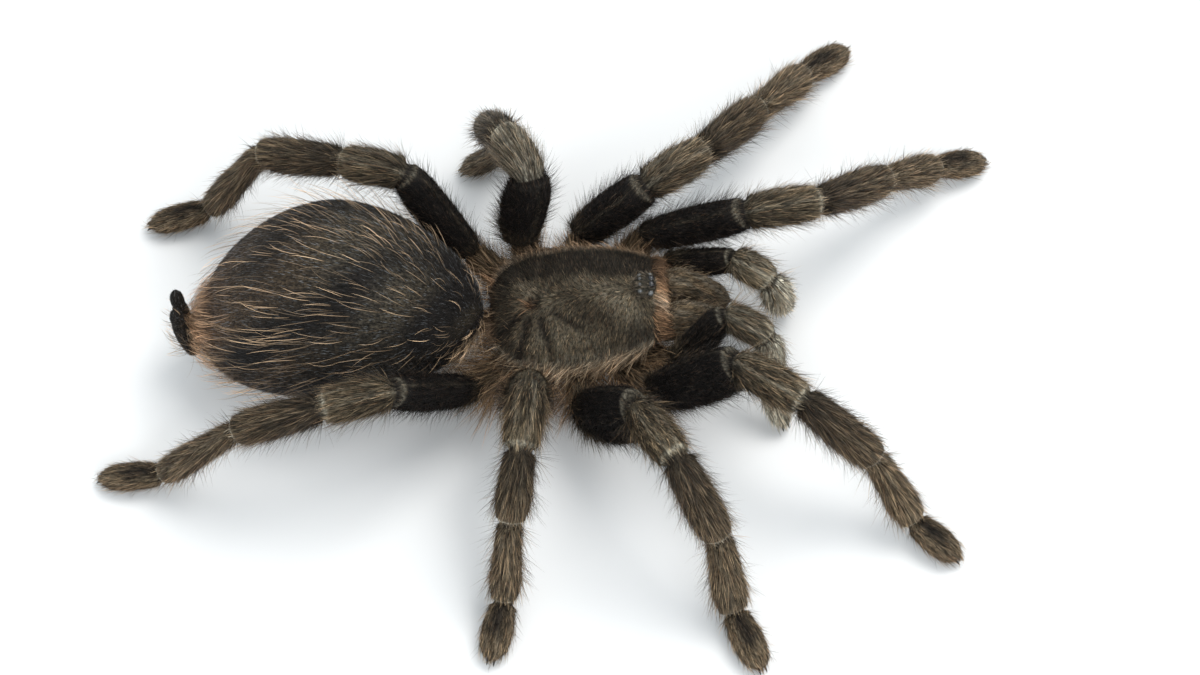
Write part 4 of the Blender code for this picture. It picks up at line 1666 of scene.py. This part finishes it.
    def pale(self, spots: ShellSpots, waves: ARRAY) -> ARRAY:
        """Share of the pale colour.

        Args:
            spots: where the points of the upper side lie.
            waves: slow waves that make it uneven.

        Returns:
            The share: most on the right edge and on the right of the brim.
        """
        back = 1.0 - spots.front
        pale = 0.12 - 0.14 * waves + 0.45 * step(-spots.across, 0.80, 0.97) * back
        pale = pale + (0.25 + 0.25 * spots.leftish) * spots.margin * back
        return np.clip(np.maximum(pale * back, 0.75 * bell(spots.left + 1.2, 1.5) * spots.front), 0.0, 1.0)


@dataclass(frozen=True)
class Eye:
    """One pair of eyes: the bearing of each from straight ahead, its height angle and its radius."""

    bearing: float
    height: float
    radius: float
    pearly: bool = True


@dataclass
class EyeMound:
    """Mound on the front of the carapace with eight eyes."""

    centre: PLACE = (19.4, 0.0, 14.1)
    half_size: PLACE = (1.35, 1.5, 1.15)
    pairs: tuple[Eye, ...] = (Eye(26.0, 50.0, 0.44, pearly=False), Eye(62.0, 8.0, 0.40),
                              Eye(124.0, 24.0, 0.34), Eye(150.0, 54.0, 0.25))
    sink: float = 0.93
    coat_depth: float = 0.05
    pole: float = 0.06

    def ball(self, centre: PLACE, half_size: PLACE, rows: int, around: int) -> Loft:
        """Oval ball whose pole points up.

        Args:
            centre: its middle.
            half_size: its half sizes (forward, left, up).
            rows: number of rings.
            around: number of corners of a ring.

        Returns:
            The ball, marked from 0 at its foot to 1 at its top.
        """
        polar = np.linspace(self.pole, math.pi - self.pole, rows)[:, None]
        turn = turns(around)[None, :]
        forward = centre[0] + np.sin(polar) * np.cos(turn) * half_size[0]
        left = centre[1] + np.sin(polar) * np.sin(turn) * half_size[1]
        up = centre[2] + np.cos(polar) * half_size[2]
        rings = GROUND.points(forward, left, up)
        marks = {"tip": 0.5 + 0.5 * np.cos(polar), "dark": 0.80, "pale": 0.8, "nap": 0.9, "cover": 1.2,
                 "tan": 5.0, "lie": np.broadcast_to([0.0, 1.0, 0.1], rings.shape)}
        return Loft(CARAPACE_ZONE, rings, stacked(forward, left, up) * 2.0, marks)

    def mound(self) -> Loft:
        """The mound itself."""
        long, wide, high = (size - self.coat_depth for size in self.half_size)
        return self.ball(self.centre, (long, wide, high), 22, 36)

    def lenses(self, pearly: bool) -> list[Loft]:
        """The dark or the pearly eyes of both sides."""
        made = []
        for pair in (pair for pair in self.pairs if pair.pearly == pearly):
            for side in Side:
                out = aim(pair.bearing * side.sign, pair.height)
                away = (-out.y, out.x, out.z)
                centre = tuple(middle + size * self.sink * part
                               for middle, size, part in zip(self.centre, self.half_size, away))
                made.append(self.ball(centre, (pair.radius,) * 3, 14, 20))
        return made


# ---- coat
@dataclass(frozen=True)
class HairShape:
    """A tapered three-sided hair along +X that bows towards +Z.

    knots holds (part of the length, half width, bow) with the last two in hair widths.
    """

    name: str
    knots: tuple[PLACE, ...]

    CORNERS = ((0.62, 0.0), (-0.31, 1.0), (-0.31, -1.0))     # height and side of each corner of a knot
    BAKE_CORNER = 0.12       # how far the first face's middle corner stands back on the bake patch

    def build(self) -> bpy.types.Object:
        """Make the hair's mesh.

        Returns:
            The hidden object that the coats repeat.
        """
        verts, patch, faces = [], [], []
        sides = len(self.CORNERS)
        for number, (part, half, bow) in enumerate(self.knots[:-1]):
            for corner, (height, wide) in enumerate(self.CORNERS):
                back = self.BAKE_CORNER if number == 0 and corner == 1 else 0.0
                verts.append((part, wide * half, bow + height * half))
                patch.append((part - back, corner / 2.0, 0.0))
        end, _, bow = self.knots[-1]
        verts.append((end, 0.0, bow))
        patch.append((end, 0.5, 0.0))
        around = [(a, (a + 1) % sides) for a in range(sides)]
        top = len(verts) - 1
        last = top - sides
        for base in range(0, last, sides):
            faces += [(base + a, base + b, base + sides + b, base + sides + a) for a, b in around]
        faces += [(last + a, last + b, top) for a, b in around]
        faces.append((2, 1, 0))
        mesh = bpy.data.meshes.new(self.name)
        mesh.from_pydata(verts, [], faces)
        mesh.shade_smooth()
        Shell.store(mesh, "tip", "FLOAT", "POINT", np.array(verts)[:, 0])
        Shell.store(mesh, "patch", "FLOAT_VECTOR", "POINT", np.array(patch))
        return bpy.data.objects.new(self.name, mesh)


class CoatTree:
    """Geometry Nodes tree that plants hair over a skin, bent along the lie of the coat."""

    INPUTS = {"Object": ("Hair",), "String": ("Mark", "Reach"), "Int": ("Seed",), "Material": ("Finish",),
              "Float": ("Zone", "Zones", "Density", "Length", "Width", "Lift", "Spread", "Ragged")}
    SPENT = ("lie", "nap", "reach", "cover", "guard", "tan", "tuft", "brim", "zone", "unwrap", "patch")

    def __init__(self) -> None:
        """Build the tree."""
        self.tree = bpy.data.node_groups.new("coat", "GeometryNodeTree")
        face = self.tree.interface
        face.new_socket("Geometry", in_out="INPUT", socket_type="NodeSocketGeometry")
        face.new_socket("Geometry", in_out="OUTPUT", socket_type="NodeSocketGeometry")
        self.sockets = {
            name: face.new_socket(name, in_out="INPUT", socket_type="NodeSocket" + kind).identifier
            for kind, names in self.INPUTS.items() for name in names}
        self.built: dict[str, bpy.types.ID] = {}
        self.graph = Graph(self.tree)
        self.given = self.graph.node("NodeGroupInput")
        roots = self.roots()
        normal = self.graph.out(roots, "Normal")
        way = self.way(normal)
        hair = self.add("GeometryNodeObjectInfo", {"transform_space": "ORIGINAL"},
                        {"Object": self.input("Hair")}, "Geometry")
        planted = self.add("GeometryNodeInstanceOnPoints", {}, {
            "Points": self.with_chance(self.graph.out(roots, "Points")), "Instance": hair,
            "Rotation": self.turned(way, normal), "Scale": self.size(way)})
        solid = self.with_bake_map(self.add("GeometryNodeRealizeInstances", {}, {"Geometry": planted}))
        for name in self.SPENT:
            solid = self.add("GeometryNodeRemoveAttribute", {}, {"Geometry": solid, "Name": name})
        finish = self.input("Finish")
        solid = self.add("GeometryNodeSetMaterial", {}, {"Geometry": solid, "Material": finish})
        self.graph.node("NodeGroupOutput", {}, {"Geometry": solid})

    def ready(self, wanted: Union[HairShape, CoatFinish]) -> bpy.types.ID:
        """Hair or material of a shape or finish, built when it is first wanted."""
        if wanted.name not in self.built:
            self.built[wanted.name] = wanted.build()
        return self.built[wanted.name]

    def add(self, kind: str, settings: dict, sockets: dict, output: Union[str, int] = 0) -> Wire:
        """Add a node and take one of its outputs.

        Args:
            kind: the node's type name.
            settings: its properties.
            sockets: values or wires for its inputs.
            output: the output's name or place.

        Returns:
            The output's wire.
        """
        return self.graph.out(self.graph.node(kind, settings, sockets), output)

    def input(self, name: str) -> Wire:
        """Wire of one of the tree's inputs."""
        return self.graph.out(self.given, name)

    def attribute(self, name: Value, kind: str = "FLOAT") -> Wire:
        """Wire of a named attribute."""
        return self.add("GeometryNodeInputNamedAttribute", {"data_type": kind}, {"Name": name})

    def random(self, low: float, high: float, salt: int) -> Wire:
        """A different number from low to high for each hair."""
        seed = self.input("Seed") + float(salt)
        values = {2: low, 3: high, "Seed": seed}
        return self.add("FunctionNodeRandomValue", {"data_type": "FLOAT"}, values, 1)

    def stray(self, salt: int) -> Wire:
        """A different vector for each hair."""
        seed = self.input("Seed") + float(salt)
        return self.add("FunctionNodeRandomValue", {"data_type": "FLOAT_VECTOR"},
                        {0: (-1.0,) * 3, 1: (1.0,) * 3, "Seed": seed})

    def roots(self) -> bpy.types.Node:
        """Root points over the wanted zone, as dense as the mark says."""
        inside = abs(self.attribute("zone") - self.input("Zone")) < self.input("Zones")
        density = self.input("Density") * self.attribute(self.input("Mark")) * inside
        return self.graph.node("GeometryNodeDistributePointsOnFaces", {}, {
            "Mesh": self.input("Geometry"), "Density": density, "Seed": self.input("Seed")})

    def with_chance(self, points: Wire) -> Wire:
        """Give each root point a random number that its hair's colour reads."""
        return self.add("GeometryNodeStoreNamedAttribute", {"data_type": "FLOAT", "domain": "POINT"},
                        {"Geometry": points, "Name": "chance", "Value": self.random(0.0, 1.0, 1)})

    def with_bake_map(self, solid: Wire) -> Wire:
        """Give each hair a small patch at its root's place on the skin's unwrap."""
        place = self.graph.vector("MULTIPLY_ADD", {0: self.attribute("patch", "FLOAT_VECTOR"),
                                                   1: (PATCH,) * 3,
                                                   2: self.attribute("unwrap", "FLOAT_VECTOR")})
        return self.add("GeometryNodeStoreNamedAttribute", {"data_type": "FLOAT2", "domain": "CORNER"},
                        {"Geometry": solid, "Name": "OFBake", "Value": place})

    def way(self, normal: Wire) -> Wire:
        """Direction of each hair.

        Args:
            normal: the skin's normal at the root.

        Returns:
            The direction along the coat, lifted and spread a little, as a unit vector.
        """
        graph = self.graph
        lift = graph.math("RADIANS", self.input("Lift") * self.random(0.65, 1.35, 2))
        cosine, sine = graph.math("COSINE", lift), graph.math("SINE", lift)
        lying = graph.vector("SCALE", {0: self.attribute("lie", "FLOAT_VECTOR"), 3: cosine})
        rising = graph.vector("SCALE", {0: normal, 3: sine})
        stray = graph.vector("SCALE", {0: self.stray(3), 3: self.input("Spread")})
        way = graph.vector("ADD", {0: graph.vector("ADD", {0: lying, 1: rising}), 1: stray})
        return graph.vector("NORMALIZE", {0: way})

    def turned(self, way: Wire, normal: Wire) -> Wire:
        """Rotation of each hair.

        Args:
            way: its direction.
            normal: the skin's normal at its root.

        Returns:
            The rotation that lays it along its way, bowed away from the skin and rolled a little.
        """
        kind = "FunctionNodeAlignRotationToVector"
        along = self.add(kind, {"axis": "X"}, {"Vector": way})
        roll = self.graph.vector("SCALE", {0: self.stray(7), 3: 0.8})
        bow = self.graph.vector("ADD", {0: normal, 1: roll})
        return self.add(kind, {"axis": "Z", "pivot_axis": "X"}, {"Rotation": along, "Vector": bow})

    def size(self, way: Wire) -> Wire:
        """Length and width of each hair, cut short where it would go into the floor.

        Args:
            way: direction of the hair.

        Returns:
            The scale of the hair.
        """
        graph = self.graph
        ragged = 1.0 + self.input("Ragged") * self.random(-1.0, 1.0, 4)
        length = self.input("Length") * self.attribute(self.input("Reach")) * ragged
        height = self.up(self.add("GeometryNodeInputPosition", {}, {}))
        fall = graph.math("MAXIMUM", self.up(way) * length * -1.0, 1e-6)
        room = graph.math("MINIMUM", graph.math("DIVIDE", height, fall), 1.0)
        width = self.input("Width") * self.random(0.7, 1.3, 5)
        return self.add("ShaderNodeCombineXYZ", {}, {0: length * room, 1: width, 2: width})

    def up(self, vector: Wire) -> Wire:
        """The upward part of a vector."""
        return self.add("ShaderNodeSeparateXYZ", {}, {0: vector}, "Z")


@dataclass(frozen=True)
class Growth:
    """How the hair of a coat grows.

    density counts hairs on a square millimetre, length and width are a hair's own, lift is its
    angle from the skin, and spread and ragged say how much ways and lengths differ.
    """

    density: float
    length: float
    width: float
    lift: float
    spread: float
    ragged: float
    shape: HairShape
    finish: CoatFinish


@dataclass(frozen=True)
class Coat:
    """One piece of the coat.

    zones is the first and the last zone that it grows on, and mark and reach are the marks that
    set its density and its length.
    """

    name: str
    slot: str
    zones: tuple[int, int]
    mark: Mark
    reach: Mark
    growth: Growth

    QUICK_SHARE = 0.35

    def build(self, tree: CoatTree, source: bpy.types.Object, seed: int) -> bpy.types.Object:
        """Plant the hair and turn it into a plain mesh.

        Args:
            tree: the coat's node tree.
            source: the skin or shell that it grows on.
            seed: seed of its random numbers.

        Returns:
            The coat piece, riding on the root body.
        """
        modifier = source.modifiers.new(self.name, "NODES")
        modifier.node_group = tree.tree
        first, last = self.zones
        growth = self.growth
        density = growth.density * 1.0 / MM ** 2
        values = {"Hair": tree.ready(growth.shape), "Finish": tree.ready(growth.finish), "Seed": seed,
                  "Zone": (first + last) / 2, "Zones": (last - first) / 2 + 0.5,
                  "Mark": self.mark.value, "Reach": self.reach.value, "Density": density,
                  "Length": growth.length * MM, "Width": growth.width / 2 * MM, "Lift": growth.lift,
                  "Spread": growth.spread, "Ragged": growth.ragged}
        for name, value in values.items():
            modifier[tree.sockets[name]] = value
        graph = bpy.context.evaluated_depsgraph_get()
        mesh = bpy.data.meshes.new_from_object(source.evaluated_get(graph), preserve_all_data_layers=True,
                                               depsgraph=graph)
        source.modifiers.remove(modifier)
        mesh.name = self.name
        made = linked(self.name, mesh)
        ride_as(made, self.slot)
        LOG.info("%s: %d triangles", self.name, sum(len(p.vertices) - 2 for p in mesh.polygons))
        return made


SPIKE = HairShape("spike", ((0.0, 1.0, 0.0), (1.0, 0.0, 0.5)))
BENT_HAIR = HairShape("bent_hair", ((0.0, 1.0, 0.0), (0.35, 0.9, 5.0), (0.7, 0.65, 6.0), (1.0, 0.0, 2.0)))
LIMP_HAIR = HairShape("limp_hair", ((0.0, 1.0, 0.0), (0.5, 0.85, 6.0), (1.0, 0.0, 2.0)))
SWEPT_HAIR = HairShape("swept_hair", ((0.0, 1.0, 0.0), (0.25, 0.95, 5.0), (0.5, 0.85, 3.0),
                                      (0.75, 0.65, -8.0), (1.0, 0.0, -30.0)))

# density, length, width, lift, spread and ragged of the hair of every limb
LIMB_COAT = Growth(21.5, 1.12, 0.083, 13.0, 0.17, 0.38, SPIKE, COAT)
LIMB_TAN = Growth(4.7, 2.5, 0.050, 13.0, 0.18, 0.45, LIMP_HAIR, TAN)
LIMB_GUARD = Growth(2.8, 2.1, 0.036, 38.0, 0.24, 0.55, LIMP_HAIR, GUARD)


def coats(limbs: list[Limb]) -> list[Coat]:
    """List every piece of the coat.

    Args:
        limbs: the legs and palps, whose zones have coats of their own.

    Returns:
        The coat pieces in order.
    """
    torso, abdomen, shell = (TORSO_ZONE,) * 2, (ABDOMEN_ZONE,) * 2, (CARAPACE_ZONE,) * 2
    limb_zones = (FIRST_LIMB_ZONE, max(limb.zone for limb in limbs))
    short, long = Mark.NAP, Mark.REACH
    made = [Coat(f"coat_{limb.kind.value}_{limb.side.value}", "shank", (limb.zone,) * 2, Mark.COVER, short,
                 LIMB_COAT) for limb in limbs]
    for side in Side:
        zones = [limb.zone for limb in limbs if limb.side is side]
        span = (min(zones), max(zones))
        made.append(Coat(f"tan_limbs_{side.value}", "shank", span, Mark.TAN, long, LIMB_TAN))
        made.append(Coat(f"guard_limbs_{side.value}", "shank", span, Mark.GUARD, long, LIMB_GUARD))
    return made + [
        Coat("tufts_limbs", "body", limb_zones, Mark.TUFT, long,
             Growth(7.0, 2.4, 0.060, 32.0, 0.34, 0.40, BENT_HAIR, FRINGE)),
        Coat("coat_torso", "body", torso, Mark.COVER, short,
             Growth(30.0, 0.75, 0.070, 14.0, 0.17, 0.35, SPIKE, COAT)),
        Coat("long_torso", "jaw", torso, Mark.TAN, long,
             Growth(2.6, 1.7, 0.045, 22.0, 0.24, 0.45, BENT_HAIR, TAN)),
        Coat("guard_torso", "jaw", torso, Mark.GUARD, long,
             Growth(1.6, 2.2, 0.042, 34.0, 0.22, 0.45, BENT_HAIR, GUARD)),
        Coat("coat_abdomen", "abdomen", abdomen, Mark.COVER, short,
             Growth(17.0, 0.70, 0.080, 11.0, 0.16, 0.35, SPIKE, VELVET_AND_SHEEN)),
        Coat("long_abdomen", "abdomen", abdomen, Mark.GUARD, long,
             Growth(0.46, 5.1, 0.050, 26.0, 0.15, 0.28, SWEPT_HAIR, LONG_RUST)),
        Coat("coat_carapace", "carapace", shell, Mark.COVER, short,
             Growth(78.0, 0.58, 0.054, 15.0, 0.22, 0.35, SPIKE, COAT)),
        Coat("tan_carapace", "carapace", shell, Mark.TAN, short,
             Growth(3.0, 0.95, 0.045, 18.0, 0.26, 0.40, BENT_HAIR, TAN)),
        Coat("brim_carapace", "carapace", shell, Mark.BRIM, long,
             Growth(60.0, 1.9, 0.055, 15.0, 0.26, 0.42, BENT_HAIR, BRIM)),
        Coat("tufts_carapace", "carapace", shell, Mark.TUFT, long,
             Growth(27.0, 2.4, 0.056, 14.0, 0.46, 0.40, BENT_HAIR, FRINGE)),
    ]


def grow(limbs: list[Limb], skin: bpy.types.Object, shell: bpy.types.Object) -> None:
    """Grow the whole coat.

    Args:
        limbs: the legs and palps.
        skin: the skin, with the torso, the abdomen and the limbs.
        shell: the carapace.
    """
    tree = CoatTree()
    total = 0
    for number, coat in enumerate(coats(limbs)):
        source = shell if coat.zones[0] == CARAPACE_ZONE else skin
        total += len(coat.build(tree, source, SEED + SEED_STEP * number).data.polygons)
    for made in tree.built.values():
        if isinstance(made, bpy.types.Object):
            bpy.data.objects.remove(made)
    LOG.info("coat: %d faces in all", total)


# ---- studio
@dataclass(frozen=True)
class SoftLight:
    """Square light panel.

    place is (forward, left, up) in metres from the animal's middle, size the panel's side in
    metres and power in watts.
    """

    name: str
    place: PLACE
    size: float
    power: float
    colour: COLOUR

    def build(self) -> None:
        """Make the light, facing the animal."""
        data = bpy.data.lights.new(self.name, "AREA")
        data.shape, data.size, data.energy, data.color = "SQUARE", self.size, self.power, self.colour
        made = linked(self.name, data)
        forward, left, up = self.place
        made.location = (left, -forward, up)
        made.rotation_euler = (-made.location).to_track_quat("-Z", "Y").to_euler()


@dataclass(frozen=True)
class Studio:
    """Camera, soft lights and pale floor.

    The camera looks at target, a place on the animal, from distance millimetres away, from
    above its right side, with its head to the right.
    """

    target: PLACE = (13.69, 0.73, 0.0)
    distance: float = 500.0
    elevation: float = 61.01
    yaw: float = -0.84
    roll: float = -1.61
    lens: float = 119.1
    sensor: float = 36.0
    clip: tuple[float, float] = (0.01, 20.0)
    floor_size: float = 4.0
    lights: tuple[SoftLight, ...] = (SoftLight("key", (0.29, 0.22, 0.77), 0.45, 3.8, (1.0, 0.965, 0.92)),
                                     SoftLight("fill", (0.31, -0.66, 0.52), 0.45, 2.6, (1.0, 0.995, 0.985)))
    backdrop: COLOUR = (0.925, 0.975, 1.0)
    backdrop_strength: float = 0.89

    def camera(self) -> None:
        """Make the camera and look through it."""
        tilt, yaw, roll = (math.radians(a) for a in (self.elevation, self.yaw, self.roll))
        ahead = Vector((math.cos(tilt), 0.0, -math.sin(tilt)))
        right, up = Vector((0.0, -1.0, 0.0)), Vector((math.sin(tilt), 0.0, math.cos(tilt)))
        ahead, right, up = (Quaternion(Vector((0, 0, 1)), yaw) @ v for v in (ahead, right, up))
        cosine, sine = math.cos(roll), math.sin(roll)
        right, up = right * cosine + up * sine, up * cosine - right * sine
        data = bpy.data.cameras.new("camera")
        data.lens, data.sensor_width = self.lens, self.sensor
        data.clip_start, data.clip_end = self.clip
        made = linked("camera", data)
        axes = Matrix((right, up, -ahead)).transposed().to_4x4()
        axes.translation = GROUND.at(*self.target) - ahead * self.distance * MM
        made.matrix_world = axes
        bpy.context.scene.camera = made

    def floor(self) -> None:
        """Make the floor."""
        half = self.floor_size / 2
        corners = [(-half, -half, 0), (half, -half, 0), (half, half, 0), (-half, half, 0)]
        mesh = bpy.data.meshes.new("floor")
        mesh.from_pydata(corners, [], [(0, 1, 2, 3)])
        mesh.materials.append(FLOOR.build())
        floor = linked("floor", mesh)

    def world(self) -> None:
        """Make the pale surroundings."""
        world = bpy.data.worlds.new("studio")
        world.use_nodes = True
        back = world.node_tree.nodes["Background"]
        back.inputs["Color"].default_value = (*self.backdrop, 1.0)
        back.inputs["Strength"].default_value = self.backdrop_strength
        bpy.context.scene.world = world
        bpy.context.scene.view_settings.view_transform = "Standard"

    def build(self) -> None:
        """Make the floor, the lights, the surroundings and the camera."""
        self.floor()
        for light in self.lights:
            light.build()
        self.world()
        self.camera()


# ---- the animal
class Tarantula:
    """The whole animal, put together from its sub-assemblies."""

    def __init__(self) -> None:
        """Choose the sub-assemblies."""
        kinds = [(side, kind) for side in Side for kind in Kind]
        self.limbs = [Limb(*kind, FIRST_LIMB_ZONE + number) for number, kind in enumerate(kinds)]
        self.jaws = [Chelicera(side) for side in Side]
        self.spinnerets = [Spinneret(side) for side in Side]
        self.sternum, self.abdomen = Sternum(), Abdomen()
        self.carapace, self.eyes = Carapace(), EyeMound()

    def build(self) -> None:
        """Build the skin, the shell, the eyes, the fangs, the claws and the coat."""
        lofts = [limb.loft() for limb in self.limbs] + [jaw.loft() for jaw in self.jaws]
        lofts += self.sternum.lofts() + [self.abdomen.waist(), self.abdomen.loft()]
        lofts += [spinneret.loft() for spinneret in self.spinnerets]
        skin_finish, horn_finish = SKIN.build(), HORN.build()
        skin = Shell("skin", lofts).build(skin_finish)
        shell = Shell("carapace_shell", [self.carapace.loft(), self.eyes.mound()]).build(skin_finish)
        dark_eyes = Shell("eyes_dark", self.eyes.lenses(pearly=False)).build(DARK_LENS.build())
        pearl_eyes = Shell("eyes_pearl", self.eyes.lenses(pearly=True)).build(PEARL_LENS.build())
        fangs = Shell("fangs", [jaw.fang() for jaw in self.jaws]).build(horn_finish)
        claws = Shell("claws", [claw for limb in self.limbs for claw in limb.claws()]).build(horn_finish)
        grow(self.limbs, skin, shell)

        apart = ("carapace", "eye_tubercle", "fang_left", "fang_right")
        flesh = [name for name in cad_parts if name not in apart]
        ride_as(skin, "shank", *flesh)
        ride_as(shell, "carapace", "carapace", "eye_tubercle")
        ride_as(dark_eyes, "eyes")
        ride_as(pearl_eyes, "eyes")
        ride_as(fangs, "fang", "fang_left", "fang_right")
        ride_as(claws, "fang")


def main() -> None:
    """Build the studio and the tarantula."""
    logging.basicConfig(level=logging.INFO, format="%(name)s %(message)s")
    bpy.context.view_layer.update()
    Studio().build()
    Tarantula().build()


if __name__ == "__main__":
    main()
